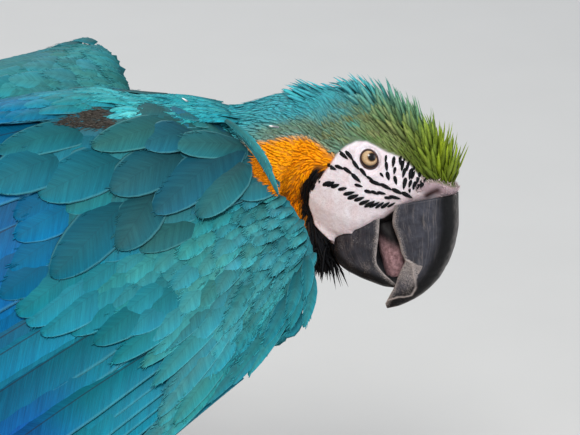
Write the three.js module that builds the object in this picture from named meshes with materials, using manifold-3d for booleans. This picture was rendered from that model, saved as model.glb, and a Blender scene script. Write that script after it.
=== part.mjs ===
// A blue-and-yellow macaw, life size, crouched on a short round perch with its head low and turned to its right
// and its wings held a little open, on a plain display stand.
// Millimetres. +X is the way the trunk faces, +Y its left, +Z up. The origin is the middle of the base's underside.
import * as THREE from "three";
import { mergeVertices } from "three/addons/utils/BufferGeometryUtils.js";
import Module from "manifold-3d";

const wasm = await Module();
wasm.setup();

// ---------------------------------------------------------------- driving dimensions
const BASE = { length: 250, width: 200, thick: 16, corner: 24 };
const PERCH = { radius: 6, length: 210, top: 205 };
const POST_RADIUS = 6;
const GAP = 0.35; // clearance left between neighbouring pieces
const EYE = { radius: 7.4, x: -1.5, y: 21.2, z: -4 };
const TAIL = { root: [-119, 0, 93], slope: 11, length: 452, thick: 9, tipThick: 3 };
const FOOT = { x: -24, spread: 31, toe: 9.2, toeRadius: 4.3 };

// The feathered trunk and neck, from the tail's root forwards: centre, half width, height above and below it.
const TRUNK = [
  { name: "vent", at: [-126, 0, 92], wide: 16, above: 12, below: 13 },
  { name: "rump", at: [-106, 0, 96], wide: 27, above: 23, below: 25 },
  { name: "loin", at: [-80, 0, 101], wide: 37, above: 32, below: 38 },
  { name: "belly", at: [-45, 0, 105], wide: 45, above: 41, below: 49 },
  { name: "keel", at: [-10, 0, 109], wide: 50, above: 43, below: 53 },
  { name: "breast", at: [22, 0, 112], wide: 50, above: 44, below: 54 },
  { name: "shoulder", at: [48, -2, 114], wide: 44, above: 46, below: 52 },
  { name: "neck_root", at: [68, -6, 117], wide: 38, above: 44, below: 52 },
  { name: "neck", at: [86, -13, 120], wide: 34, above: 49, below: 56 },
  { name: "nape", at: [104, -23, 122], wide: 30, above: 48, below: 55 },
];
const NECK_FROM_X = 62; // the cut between trunk and neck
const RUMP_TO_X = -97; // the cut between the tail's base and the trunk

// The head's own frame: x from the nape to the nostrils, y to its left, z to the crown.
const HEAD = {
  centre: new THREE.Vector3(129.7, -31.7, 134.8),
  forward: new THREE.Vector3(0.6857, -0.6281, -0.3679),
  left: new THREE.Vector3(0.5913, 0.7754, -0.2216),
  cut: -33, // where the neck ends, on the head's x
};
// Head stations: x, height of the widest line, height above and below it, half width, squareness.
const SKULL = [
  { x: -46, mid: -12, above: 28, below: 22, wide: 21 },
  { x: -32, mid: -14, above: 38, below: 35, wide: 28 },
  { x: -16, mid: -15, above: 42, below: 40, wide: 29.5 },
  { x: 0, mid: -15, above: 41, below: 42, wide: 28 },
  { x: 12, mid: -13, above: 37, below: 37, wide: 24.5 },
  { x: 22, mid: -9, above: 30, below: 22, wide: 20 },
  { x: 32, mid: -4, above: 20, below: 14, wide: 15 },
  { x: 41, mid: -1, above: 11, below: 10, wide: 10.5 },
  { x: 46, mid: -1.5, above: 3.5, below: 6.5, wide: 5.5 },
];
// Upper bill in the head's frame: ridge and cutting edge in profile, half width between them.
const UPPER_BILL = {
  ridge: [[47, -4.5], [53.5, -15], [57.5, -27], [58.8, -40], [57.6, -51.5], [53.5, -62.5], [47.5, -71], [41, -77]],
  edge: [[24, -21], [27, -33], [33.5, -39.5], [39.5, -45], [41.5, -51], [41.5, -58.5], [40.8, -67], [39.6, -76]],
  wide: [17, 16.6, 15.4, 13.4, 10.8, 8, 5, 1.6],
  wall: 3,
};
const LOWER_BILL = {
  edge: [[18, -31], [21.5, -41], [24, -49], [27.5, -55.5], [32.5, -59.5], [38.5, -62.3]],
  ridge: [[-4.5, -56], [3, -65], [12.5, -68.6], [22.5, -68.6], [31.5, -67.6], [38.3, -65.4]],
  wide: [16.4, 15.4, 13.6, 11.6, 8.8, 4.6],
  wall: 2.6,
};
const THROAT = { x: -14, z: -50, long: 21, wide: 16, deep: 22 }; // the feathers under the chin
const TONGUE = { from: [12, -38], over: [26, -41], to: [37, -57], radius: 6.2 };

// The wing is a fan of chord lines, given for the right wing, from the innermost scapular to the leading primary:
// where the line leaves the front edge, its way to the feather tips, its length and the flesh there.
const FAN = [
  { base: [30, -10, 160], way: [-0.99, -0.03, 0.03], length: 132, thick: 8 },
  { base: [41, -24, 157], way: [-0.985, -0.05, -0.1], length: 170, thick: 13 },
  { base: [51, -48, 147], way: [-0.945, -0.04, -0.31], length: 225, thick: 18 },
  { base: [57, -77, 137], way: [-0.9, 0.07, -0.42], length: 285, thick: 18 },
  { base: [59, -105, 126], way: [-0.86, 0.1, -0.5], length: 330, thick: 16 },
  { base: [54, -125, 109], way: [-0.83, 0.09, -0.55], length: 362, thick: 14 },
  { base: [42, -134, 86], way: [-0.81, 0.07, -0.585], length: 388, thick: 9 },
];
const CAMBER = 0.055; // rise of a chord line over its length
const COVERTS_END = 0.33; // share of the chord that is flesh and coverts
const TERTIALS_TO = 1.7; // chord lines, counted from the innermost
const SECONDARIES_TO = 4;
const WINGS = [
  { side: "right", mirror: 1, lift: 0, sweep: 0, back: 0, camber: 1 },
  { side: "left", mirror: -1, lift: 35, sweep: 8, back: 28, camber: 2 }, // degrees, and a shift to the rear
];
const SHOULDER = { x: 45, y: 35, z: 120 };

// ---------------------------------------------------------------- small tools
const V = (x, y, z) => new THREE.Vector3(x, y, z);
const rad = THREE.MathUtils.degToRad;
const mix = THREE.MathUtils.lerp;

/** Catmull-Rom through a list of numbers, at a place counted in entries. */
function along(list, at) {
  const i = Math.min(Math.max(Math.floor(at), 0), list.length - 2);
  const t = at - i;
  const p = (k) => list[Math.min(Math.max(k, 0), list.length - 1)];
  const [a, b, c, d] = [
    i > 0 ? p(i - 1) : 2 * p(0) - p(1),
    p(i),
    p(i + 1),
    i + 2 < list.length ? p(i + 2) : 2 * p(i + 1) - p(i),
  ];
  return 0.5 * (2 * b + (c - a) * t + (2 * a - 5 * b + 4 * c - d) * t * t + (3 * b - a - 3 * c + d) * t * t * t);
}

const pointAlong = (points, at) => V(...[0, 1, 2].map((k) => along(points.map((p) => p[k]), at)));

/** A closed body through rings of equally many points, with a fan over each end. */
function loft(rings) {
  const count = rings[0].length;
  const positions = rings.flat().flatMap((p) => [p.x, p.y, p.z]);
  const index = [];
  for (let i = 0; i + 1 < rings.length; i++)
    for (let j = 0; j < count; j++) {
      const a = i * count + j;
      const b = i * count + ((j + 1) % count);
      index.push(a, b, b + count, a, b + count, a + count);
    }
  for (const [ring, first, flip] of [[rings[0], 0, true], [rings.at(-1), (rings.length - 1) * count, false]]) {
    const middle = ring.reduce((sum, p) => sum.add(p), V(0, 0, 0)).divideScalar(count);
    const centre = positions.length / 3;
    positions.push(middle.x, middle.y, middle.z);
    for (let j = 0; j < count; j++) {
      const [a, b] = [first + j, first + ((j + 1) % count)];
      index.push(...(flip ? [centre, b, a] : [centre, a, b]));
    }
  }
  return bodyOf(positions, index);
}

/** A closed body between two grids of points, over[i][j] and under[i][j], joined round their edges. */
function slab(over, under) {
  const [rows, columns] = [over.length, over[0].length];
  const positions = [...over.flat(), ...under.flat()].flatMap((p) => [p.x, p.y, p.z]);
  const top = (i, j) => i * columns + j;
  const low = (i, j) => rows * columns + top(i, j);
  const index = [];
  const quad = (a, b, c, d) => index.push(a, b, c, a, c, d);
  for (let i = 0; i + 1 < rows; i++)
    for (let j = 0; j + 1 < columns; j++) {
      quad(top(i, j), top(i + 1, j), top(i + 1, j + 1), top(i, j + 1));
      quad(low(i, j), low(i, j + 1), low(i + 1, j + 1), low(i + 1, j));
    }
  for (let i = 0; i + 1 < rows; i++) {
    quad(top(i, 0), low(i, 0), low(i + 1, 0), top(i + 1, 0));
    quad(top(i + 1, columns - 1), low(i + 1, columns - 1), low(i, columns - 1), top(i, columns - 1));
  }
  for (let j = 0; j + 1 < columns; j++) {
    quad(top(0, j + 1), low(0, j + 1), low(0, j), top(0, j));
    quad(top(rows - 1, j), low(rows - 1, j), low(rows - 1, j + 1), top(rows - 1, j + 1));
  }
  return bodyOf(positions, index);
}

/** A manifold-3d solid of a closed mesh, turned to face out. */
function bodyOf(positions, index) {
  const geometry = new THREE.BufferGeometry();
  geometry.setAttribute("position", new THREE.Float32BufferAttribute(positions, 3));
  geometry.setIndex(index);
  return solidOf(geometry);
}

function solidOf(geometry) {
  const bare = geometry.clone();
  bare.deleteAttribute("normal");
  bare.deleteAttribute("uv");
  const merged = mergeVertices(bare, 1e-4);
  const vertProperties = new Float32Array(merged.attributes.position.array);
  const made = new wasm.Manifold(
    new wasm.Mesh({ numProp: 3, vertProperties, triVerts: new Uint32Array(merged.index.array) }),
  );
  if (made.volume() > 0) return made;
  const turned = new Uint32Array(merged.index.array);
  for (let i = 0; i < turned.length; i += 3) [turned[i + 1], turned[i + 2]] = [turned[i + 2], turned[i + 1]];
  return new wasm.Manifold(new wasm.Mesh({ numProp: 3, vertProperties, triVerts: turned }));
}

function geometryOf(solid) {
  const mesh = solid.getMesh();
  const geometry = new THREE.BufferGeometry();
  const points = new Float32Array(mesh.numVert * 3);
  for (let i = 0; i < mesh.numVert; i++)
    points.set(mesh.vertProperties.subarray(i * mesh.numProp, i * mesh.numProp + 3), i * 3);
  geometry.setAttribute("position", new THREE.BufferAttribute(points, 3));
  geometry.setIndex(new THREE.BufferAttribute(new Uint32Array(mesh.triVerts), 1));
  geometry.computeVertexNormals();
  return geometry;
}

/** The same solid with every corner pushed out along its normal. */
function swollen(solid, by = GAP) {
  const geometry = geometryOf(solid);
  const { position, normal } = geometry.attributes;
  for (let i = 0; i < position.count; i++)
    position.setXYZ(
      i,
      position.getX(i) + by * normal.getX(i),
      position.getY(i) + by * normal.getY(i),
      position.getZ(i) + by * normal.getZ(i),
    );
  return solidOf(geometry);
}

const less = (solid, ...others) => others.reduce((left, other) => left.subtract(swollen(other)), solid);
const largest = (solid) => solid.decompose().sort((a, b) => b.volume() - a.volume())[0];

/** The part of a solid on the side of a plane that the normal points to, trimmed with a big box. */
function beyond(solid, point, normal, reach = 900) {
  const box = new THREE.BoxGeometry(reach, reach, reach);
  box.translate(0, 0, reach / 2);
  box.applyQuaternion(new THREE.Quaternion().setFromUnitVectors(V(0, 0, 1), normal.clone().normalize()));
  box.translate(point.x, point.y, point.z);
  return solid.intersect(solidOf(box));
}

/** An egg-shaped ring: half width at its middle, and its own height above and below. */
function ring(centre, side, up, { wide, above, below }, sides) {
  return Array.from({ length: sides }, (_, j) => {
    const angle = (2 * Math.PI * j) / sides;
    const rise = Math.sin(angle);
    return centre
      .clone()
      .addScaledVector(side, wide * Math.cos(angle))
      .addScaledVector(up, rise * (rise > 0 ? above : below));
  });
}

// ---------------------------------------------------------------- trunk and neck
function trunkAndNeck(steps = 22, sides = 20) {
  const at = (s) => pointAlong(TRUNK.map((station) => station.at), s);
  const rings = Array.from({ length: steps }, (_, i) => {
    const s = ((TRUNK.length - 1) * i) / (steps - 1);
    const tangent = at(s + 0.01).sub(at(s - 0.01)).normalize();
    const side = V(0, 0, 1).cross(tangent).normalize();
    const up = tangent.clone().cross(side);
    const size = Object.fromEntries(["wide", "above", "below"].map((k) => [k, along(TRUNK.map((t) => t[k]), s)]));
    return ring(at(s), side, up, size, sides);
  });
  return loft(rings);
}

// ---------------------------------------------------------------- head
const headUp = HEAD.forward.clone().cross(HEAD.left).normalize();
const inHead = (x, y, z) =>
  HEAD.centre.clone().addScaledVector(HEAD.forward, x).addScaledVector(HEAD.left, y).addScaledVector(headUp, z);

function skull(steps = 17, sides = 20) {
  const value = (key, s) => along(SKULL.map((station) => station[key]), s);
  const rings = Array.from({ length: steps }, (_, i) => {
    const s = ((SKULL.length - 1) * i) / (steps - 1);
    const size = { wide: value("wide", s), above: value("above", s), below: value("below", s) };
    return ring(inHead(value("x", s), 0, value("mid", s)), HEAD.left, headUp, size, sides);
  });
  return loft(rings);
}

/** The feathers of the chin, an egg under the jaw. */
function throat() {
  const egg = new THREE.SphereGeometry(1, 14, 10).scale(THROAT.long, THROAT.wide, THROAT.deep);
  const frame = new THREE.Matrix4().makeBasis(HEAD.forward, HEAD.left, headUp);
  return solidOf(egg.applyMatrix4(frame.setPosition(inHead(THROAT.x, 0, THROAT.z))));
}

/** A bill half as a bent shell: sections from one cutting edge over the ridge to the other. */
function bill({ ridge, edge, wide, wall }, steps, arc = 8) {
  const section = (s, inset) => {
    const at = (list, k) => along(list.map((p) => p[k]), s);
    const top = new THREE.Vector2(at(ridge, 0), at(ridge, 1));
    const foot = new THREE.Vector2(at(edge, 0), at(edge, 1));
    const depth = top.clone().sub(foot);
    const full = along(wide, s);
    const shell = Math.min(inset, 0.45 * full, 0.45 * depth.length());
    const reach = 1 - shell / Math.max(depth.length(), 0.1);
    return Array.from({ length: arc + 1 }, (_, j) => {
      const angle = (Math.PI * j) / arc;
      const out = (full - shell) * Math.sign(Math.cos(angle)) * Math.abs(Math.cos(angle)) ** 0.8;
      const rise = Math.sin(angle) ** 0.9 * reach;
      return inHead(foot.x + depth.x * rise, out, foot.y + depth.y * rise);
    });
  };
  const shells = [0, wall].map((inset) =>
    Array.from({ length: steps }, (_, i) => section(((wide.length - 1) * i) / (steps - 1), inset)),
  );
  return slab(...shells);
}

function tongue(steps = 7, sides = 8) {
  const curve = new THREE.QuadraticBezierCurve3(
    ...[TONGUE.from, TONGUE.over, TONGUE.to].map(([x, z]) => inHead(x, 0, z)),
  );
  const rings = Array.from({ length: steps }, (_, i) => {
    const t = i / (steps - 1);
    const tangent = curve.getTangent(t);
    const up = tangent.clone().cross(HEAD.left).normalize();
    const size = TONGUE.radius * (1 - 0.45 * t ** 4);
    return ring(curve.getPoint(t), HEAD.left, up, { wide: size * 1.15, above: size, below: size }, sides);
  });
  return loft(rings);
}

function eye(side) {
  const ball = new THREE.SphereGeometry(EYE.radius, 14, 10);
  const centre = inHead(EYE.x, side * EYE.y, EYE.z);
  ball.translate(centre.x, centre.y, centre.z);
  return solidOf(ball);
}

// ---------------------------------------------------------------- wings
/** A point of a wing's upper surface: chord line, share of its length, and depth under the surface. */
function wingPoint({ mirror, lift, sweep, back, camber }, line, share, depth = 0) {
  const surface = (k, c) => {
    const base = pointAlong(FAN.map((f) => f.base), k);
    const way = pointAlong(FAN.map((f) => f.way), k).normalize();
    const length = along(FAN.map((f) => f.length), k);
    const bend = mix(1, camber, THREE.MathUtils.smoothstep(k, 0.4, 2.4)); // the scapulars lie flat on the back
    const rise = V(0, -0.45, 0.9).multiplyScalar(bend * CAMBER * length * 4 * c * (1 - c));
    return base.addScaledVector(way, length * c).add(rise);
  };
  const step = 0.02;
  const chord = surface(line, share + step).sub(surface(line, share - step));
  const span = surface(line + step, share).sub(surface(line - step, share));
  const normal = chord.cross(span).normalize();
  if (normal.z < 0) normal.negate();
  const point = surface(line, share).addScaledVector(normal, -depth);
  // the scapulars stay with the trunk, and the arm goes back before it rises
  const up = rad(lift) * THREE.MathUtils.smoothstep(line, 1.2, 4.4);
  const turn = rad(sweep) * THREE.MathUtils.smoothstep(line, 0.2, 2.6);
  const pivot = V(SHOULDER.x, -SHOULDER.y, SHOULDER.z);
  point.sub(pivot).applyAxisAngle(V(1, 0, 0), -up).applyAxisAngle(V(0, 0, 1), -turn).add(pivot);
  point.x -= back * THREE.MathUtils.smoothstep(line, 0.2, 3);
  point.y *= mirror;
  return point;
}

/** Depth of the wing: flesh behind a rounded front edge, thinning to the feathers' own thickness. */
function wingDepth(line, share) {
  const feathers = mix(5, 2.2, share);
  const flesh = along(FAN.map((f) => f.thick), line) * (1 - THREE.MathUtils.smoothstep(share, 0.05, 0.36));
  return feathers + flesh * Math.sqrt(Math.min(1, (share + 0.004) / 0.05));
}

function wingPiece(wing, [fromLine, toLine, lines], [fromShare, toShare, shares]) {
  const grid = (deep) =>
    Array.from({ length: lines }, (_, i) => {
      const line = mix(fromLine, toLine, i / (lines - 1));
      return Array.from({ length: shares }, (_, j) => {
        const share = mix(fromShare, toShare, (j / (shares - 1)) ** 1.15);
        return wingPoint(wing, line, share, deep ? wingDepth(line, share) : 0);
      });
    });
  return slab(grid(false), grid(true));
}

function wingPieces(wing) {
  const last = FAN.length - 1;
  const seam = 0.0035; // shares of a chord or of a line between neighbours
  const outer = [COVERTS_END + seam, 1];
  return {
    coverts: wingPiece(wing, [0, last, 15], [0, COVERTS_END - seam, 8]),
    tertials: wingPiece(wing, [0, TERTIALS_TO - seam * 3, 6], [...outer, 7]),
    secondaries: wingPiece(wing, [TERTIALS_TO + seam * 3, SECONDARIES_TO - seam * 3, 8], [...outer, 7]),
    primaries: wingPiece(wing, [SECONDARIES_TO + seam * 3, last, 8], [...outer, 8]),
  };
}

// ---------------------------------------------------------------- tail
function tail(steps = 12, sides = 12) {
  const way = V(-Math.cos(rad(TAIL.slope)), 0, -Math.sin(rad(TAIL.slope)));
  const up = V(0, 1, 0).cross(way).normalize();
  const rings = Array.from({ length: steps }, (_, i) => {
    const t = i / (steps - 1);
    const wide = mix(15, 31, THREE.MathUtils.smoothstep(t, 0, 0.3)) * (1 - 0.9 * t ** 1.5);
    const thick = mix(TAIL.thick, TAIL.tipThick, Math.sqrt(t)) / 2;
    return ring(V(...TAIL.root).addScaledVector(way, TAIL.length * t), V(0, 1, 0), up, { wide, above: thick + wide * 0.12, below: thick }, sides);
  });
  return loft(rings);
}

// ---------------------------------------------------------------- legs
const perchCentre = V(FOOT.x, 0, -PERCH.radius);

function thigh(side) {
  const stations = [
    { at: [-24, 24, 78], size: 19 },
    { at: [-31, 29, 58], size: 18.5 },
    { at: [-33, 31, 40], size: 14 },
    { at: [-30, 31, 27], size: 8.5 },
  ];
  const rings = stations.map(({ at: [x, y, z], size }) =>
    ring(V(x, side * y, z), V(0, 1, 0), V(-1, 0, 0.1), { wide: size * 0.8, above: size, below: size }, 11),
  );
  return loft(rings);
}

function tarsus(side) {
  const rings = [
    { at: [-31, 31, 30], size: 5.6 },
    { at: [-27, 31, 20], size: 5.2 },
    { at: [-25, 31, 12], size: 5.6 },
    { at: [-24, 31, 6], size: 7 },
  ].map(({ at: [x, y, z], size }) =>
    ring(V(x, side * y, z), V(0, 1, 0), V(-1, 0, 0), { wide: size, above: size, below: size }, 12),
  );
  return loft(rings);
}

/** A toe and its claw, bent round the perch: angles are measured from the top of the perch. */
const TOES = [
  { name: "inner_front", way: 1, off: -8, splay: -4, reach: 118, size: 0.92 },
  { name: "outer_front", way: 1, off: 7, splay: 5, reach: 138, size: 1 },
  { name: "inner_back", way: -1, off: -6, splay: -3, reach: 96, size: 0.88 },
  { name: "outer_back", way: -1, off: 7, splay: 5, reach: 128, size: 0.96 },
];

function bentRod(side, toe, fromAngle, toAngle, radiusAt, lift, steps, sides) {
  const rings = Array.from({ length: steps }, (_, i) => {
    const t = i / (steps - 1);
    const angle = rad(mix(fromAngle, toAngle, t));
    const radius = radiusAt(t);
    const out = V(toe.way * Math.sin(angle), 0, Math.cos(angle));
    const reach = PERCH.radius + GAP + lift(t) + radius;
    const y = FOOT.spread + toe.off * Math.min(1, 0.45 + angle / 2) + toe.splay * (angle / 2);
    const centre = perchCentre.clone().addScaledVector(out, reach).setY(side * y);
    return ring(centre, V(0, 1, 0), out, { wide: radius, above: radius, below: radius }, sides);
  });
  return loft(rings);
}

function foot(side) {
  const pieces = {};
  for (const toe of TOES) {
    const radius = FOOT.toeRadius * toe.size;
    const pads = (t) => radius * (1 - 0.16 * t) * (1 + 0.07 * Math.cos(t * 6 * Math.PI));
    const claw = (t) => 3.1 * toe.size * (1 - t) ** 0.75 + 0.45;
    pieces[`toe_${toe.name}`] = bentRod(side, toe, 4, toe.reach, pads, () => 0, 7, 7);
    pieces[`claw_${toe.name}`] = bentRod(side, toe, toe.reach + 4, toe.reach + 66, claw, (t) => 1.4 * t, 5, 6);
  }
  return pieces;
}

// ---------------------------------------------------------------- stand
function standPieces() {
  const outline = new THREE.Shape();
  const [x, y, r] = [BASE.length / 2, BASE.width / 2, BASE.corner];
  outline.moveTo(-x + r, -y).lineTo(x - r, -y).absarc(x - r, -y + r, r, -Math.PI / 2, 0);
  outline.lineTo(x, y - r).absarc(x - r, y - r, r, 0, Math.PI / 2);
  outline.lineTo(-x + r, y).absarc(-x + r, y - r, r, Math.PI / 2, Math.PI);
  outline.lineTo(-x, -y + r).absarc(-x + r, -y + r, r, Math.PI, 1.5 * Math.PI);
  const base = new THREE.ExtrudeGeometry(outline, { depth: BASE.thick, bevelEnabled: false, curveSegments: 5 });
  base.translate(0, 0, -PERCH.top);
  const rod = (radius, length) => new THREE.CylinderGeometry(radius, radius, length, 24);
  const perch = rod(PERCH.radius, PERCH.length).translate(FOOT.x, 0, -PERCH.radius);
  const low = -PERCH.top + BASE.thick + GAP;
  const high = -PERCH.radius * 1.4;
  const post = rod(POST_RADIUS, high - low).rotateX(Math.PI / 2).translate(FOOT.x, 0, (low + high) / 2);
  const perchSolid = solidOf(perch);
  return { stand_base: solidOf(base), stand_perch: perchSolid, stand_post: less(solidOf(post), perchSolid) };
}

// ---------------------------------------------------------------- the whole bird
const FINISH = {
  head: [0x4f8a58, 0.6, 0], neck: [0x2f9fb0, 0.6, 0], trunk: [0xe0a020, 0.6, 0], rump: [0x1f8fb0, 0.6, 0],
  tail: [0x1668b0, 0.55, 0], coverts: [0x2a9aa5, 0.55, 0], flight: [0x1278b4, 0.5, 0], eye: [0xd8c98a, 0.1, 0],
  bill: [0x1c1c20, 0.35, 0], tongue: [0x8a6a68, 0.5, 0], thigh: [0xd89a28, 0.6, 0], foot: [0x3a3a3c, 0.6, 0],
  claw: [0x18181a, 0.3, 0], perch: [0xd9cfb8, 0.4, 0], post: [0xb8bcc0, 0.3, 0.9], base: [0x3c2c20, 0.45, 0],
};

function build() {
  const group = new THREE.Group();
  group.position.z = PERCH.top;
  const add = (name, solid, finish) => {
    const [color, roughness, metalness] = FINISH[finish];
    const mesh = new THREE.Mesh(
      geometryOf(largest(solid)),
      new THREE.MeshStandardMaterial({ color, roughness, metalness }),
    );
    mesh.name = name;
    group.add(mesh);
  };

  const stand = standPieces();
  add("stand_base", stand.stand_base, "base");
  add("stand_post", stand.stand_post, "post");
  add("stand_perch", stand.stand_perch, "perch");

  const eyes = { right: eye(-1), left: eye(1) };
  const upper = bill(UPPER_BILL, 12);
  const upperFull = bill({ ...UPPER_BILL, wall: 99 }, 12);
  const lower = less(bill(LOWER_BILL, 9), upper);
  const lowerFull = bill({ ...LOWER_BILL, wall: 99 }, 9);
  const tongueSolid = less(tongue(), upper, lower);

  const whole = trunkAndNeck();
  const neckEnd = inHead(HEAD.cut, 0, 0);
  const skin = skull().add(throat());
  const headOnly = beyond(skin, neckEnd, HEAD.forward);
  const head = less(headOnly, eyes.right, eyes.left, upperFull, lowerFull, tongueSolid);
  const neckAndHead = beyond(whole, V(NECK_FROM_X + GAP / 2, 0, 0), V(1, 0, 0)).add(skin);
  const neck = less(beyond(neckAndHead, neckEnd.clone().addScaledVector(HEAD.forward, -GAP), HEAD.forward.clone().negate()), lowerFull);
  const trunk = beyond(beyond(whole, V(NECK_FROM_X - GAP / 2, 0, 0), V(-1, 0, 0)), V(RUMP_TO_X + GAP / 2, 0, 0), V(1, 0, 0));
  const rump = beyond(whole, V(RUMP_TO_X - GAP / 2, 0, 0), V(-1, 0, 0));
  add("head", head, "head");
  add("neck", neck, "neck");
  add("trunk", trunk, "trunk");
  add("tail_base", rump, "rump");
  add("bill_upper", upper, "bill");
  add("bill_lower", lower, "bill");
  add("tongue", tongueSolid, "tongue");
  for (const side of ["right", "left"]) add(`eye_${side}`, eyes[side], "eye");

  const tailSolid = less(tail(), rump, trunk);
  add("tail_feathers", tailSolid, "tail");

  const taken = [trunk, neck, head, rump, tailSolid];
  for (const wing of WINGS)
    for (const [part, solid] of Object.entries(wingPieces(wing)))
      add(`wing_${wing.side}_${part}`, less(solid, ...taken), part === "coverts" ? "coverts" : "flight");

  for (const [name, side] of [["right", -1], ["left", 1]]) {
    const shank = tarsus(side);
    add(`tarsus_${name}`, shank, "foot");
    add(`thigh_${name}`, less(thigh(side), trunk, shank), "thigh");
    const done = [shank, stand.stand_perch];
    for (const [part, solid] of Object.entries(foot(side))) {
      const free = less(solid, ...done);
      add(`${part}_${name}`, free, part.startsWith("toe") ? "foot" : "claw");
      done.push(free);
    }
  }
  return group;
}

export default build();
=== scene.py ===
"""A blue-and-yellow macaw leaning forward on a short perch.

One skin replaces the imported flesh. Solid feathers lie over it: small tufts on the head and body, broad vanes
on the wings and tail. Eyes, bill, tongue and claws are pieces of their own. Lengths are millimetres from the
top of the perch, +X the way the trunk faces, +Y its left, as in the part; metres() takes them into the frame.
"""
import math

import bmesh
import bpy
import numpy as np
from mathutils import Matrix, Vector
from mathutils.bvhtree import BVHTree


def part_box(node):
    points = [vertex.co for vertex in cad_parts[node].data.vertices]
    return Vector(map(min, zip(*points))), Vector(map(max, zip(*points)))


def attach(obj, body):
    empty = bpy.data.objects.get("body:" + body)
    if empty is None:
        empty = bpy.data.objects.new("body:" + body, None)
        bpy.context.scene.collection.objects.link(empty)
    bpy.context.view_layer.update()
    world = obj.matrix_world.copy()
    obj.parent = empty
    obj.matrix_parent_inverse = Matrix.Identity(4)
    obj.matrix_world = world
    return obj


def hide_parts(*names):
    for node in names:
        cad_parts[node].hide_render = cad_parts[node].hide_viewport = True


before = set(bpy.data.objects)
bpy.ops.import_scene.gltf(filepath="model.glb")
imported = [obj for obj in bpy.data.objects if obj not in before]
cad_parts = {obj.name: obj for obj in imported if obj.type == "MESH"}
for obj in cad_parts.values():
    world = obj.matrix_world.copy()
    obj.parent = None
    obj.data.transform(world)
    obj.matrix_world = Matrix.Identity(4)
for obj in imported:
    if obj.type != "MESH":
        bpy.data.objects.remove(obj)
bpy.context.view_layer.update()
BODY = "root"
PERCH_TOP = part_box("stand_perch")[1][2]  # metres
rng = np.random.default_rng(7)


# ------------------------------------------------------------------ small tools
def metres(points):
    return np.asarray(points, float) / 1000 + (0, 0, PERCH_TOP)


def millimetres(points):
    return (np.asarray(points, float) - (0, 0, PERCH_TOP)) * 1000


def unit(v):
    return v / np.maximum(np.linalg.norm(v, axis=-1, keepdims=True), 1e-9)


def smooth(x, low, high):
    t = np.clip((np.asarray(x, float) - low) / (high - low), 0, 1)
    return t * t * (3 - 2 * t)


def mix(a, b, t):
    t = np.asarray(t, float)
    return a + (b - a) * (t[..., None] if np.ndim(a) and np.shape(a)[-1] == 3 and t.ndim else t)


def rgb(code):
    """A colour written as in a paint box, turned into the renderer's linear one."""
    c = np.array([int(code[i : i + 2], 16) for i in (0, 2, 4)]) / 255
    return np.where(c <= 0.04045, c / 12.92, ((c + 0.055) / 1.055) ** 2.4)


def along(table, at):
    """Catmull-Rom through the rows of a table, at places counted in rows."""
    table = np.asarray(table, float)
    ends = np.concatenate([[2 * table[0] - table[1]], table, [2 * table[-1] - table[-2]]])
    i = np.clip(np.floor(at).astype(int), 0, len(table) - 2)
    t = (at - i).reshape(at.shape + (1,) * (table.ndim - 1))
    a, b, c, d = ends[i], ends[i + 1], ends[i + 2], ends[i + 3]
    return 0.5 * (2 * b + (c - a) * t + (2 * a - 5 * b + 4 * c - d) * t**2 + (3 * b - a - 3 * c + d) * t**3)


def noise(points, size, seed=0):
    """A soft random value about 0 for each point, from a few sine waves in odd directions."""
    waves = np.random.default_rng(100 + seed)
    total = 0
    for _ in range(5):
        way = unit(waves.normal(size=3)) * waves.uniform(0.6, 1.6) * 2 * math.pi / size
        total = total + np.sin(points @ way + waves.uniform(0, 6.3))
    return total / 3.2


# ------------------------------------------------------------------ the head's own frame, as in the part
HEAD = np.array([129.7, -31.7, 134.8])
FORWARD = np.array([0.6857, -0.6281, -0.3679])
LEFT = np.array([0.5913, 0.7754, -0.2216])
UP = unit(np.cross(FORWARD, LEFT))
EYE_AT = np.array([-1.5, 21.2, -4.0])
EYE_RADIUS = 7.4
EYE_SIDES = {"right": -1, "left": 1}
# the lids' opening: its middle on the head's x and z, half axes, and slant in degrees
LID = {"at": np.array([0.2, -3.1]), "long": 4.6, "short": 3.7, "tilt": -42}


def to_head(points):
    return (np.asarray(points) - HEAD) @ np.stack([FORWARD, LEFT, UP], 1)


def from_head(local):
    return HEAD + np.asarray(local, float) @ np.stack([FORWARD, LEFT, UP])


# Edge of the bare face on the head's x and z, from under the jaw, round the cheek and eye, to the bill's top
FACE_EDGE = np.array([
    (-2.6, -56.2), (-13, -51.8), (-19.9, -42.3), (-21.8, -34.5), (-19.6, -25.5), (-17.3, -16.8),
    (-16.5, -8.5), (-14.1, -2.5), (-10.7, 2.1), (-5.5, 4.6), (0.4, 4.6), (6.5, 3.9), (14.1, 4.3),
    (20.9, 2.3), (26.5, -0.8), (31.5, -2.2), (36.5, -0.3), (42.4, -0.1), (49, 0), (70, -4), (70, -90),
    (12, -90), (9, -64), (3, -57),
])


def face_distance(local):
    """Distance in mm outside the bare face's edge, less than 0 on the bare skin."""
    q = local[:, [0, 2]]
    a, b = FACE_EDGE, np.roll(FACE_EDGE, -1, 0)
    ab = b - a
    t = np.clip(((q[:, None] - a) * ab).sum(-1) / (ab * ab).sum(-1), 0, 1)
    gap = np.linalg.norm(q[:, None] - a - ab * t[..., None], axis=-1).min(1)
    crosses = ((a[:, 1] > q[:, None, 1]) != (b[:, 1] > q[:, None, 1])) & (
        q[:, None, 0] < ab[:, 0] * (q[:, None, 1] - a[:, 1]) / (ab[:, 1] + 1e-9) + a[:, 0]
    )
    return np.where(crosses.sum(1) % 2, -gap, gap)


def near_line(places, line):
    """Distance of each place from a line of points, on (x, z) or in space."""
    a, b = line[:-1], line[1:]
    ab = b - a
    t = np.clip(((places[:, None] - a) * ab).sum(-1) / (ab * ab).sum(-1), 0, 1)
    return np.linalg.norm(places[:, None] - a - ab * t[..., None], axis=-1).min(1)


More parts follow.
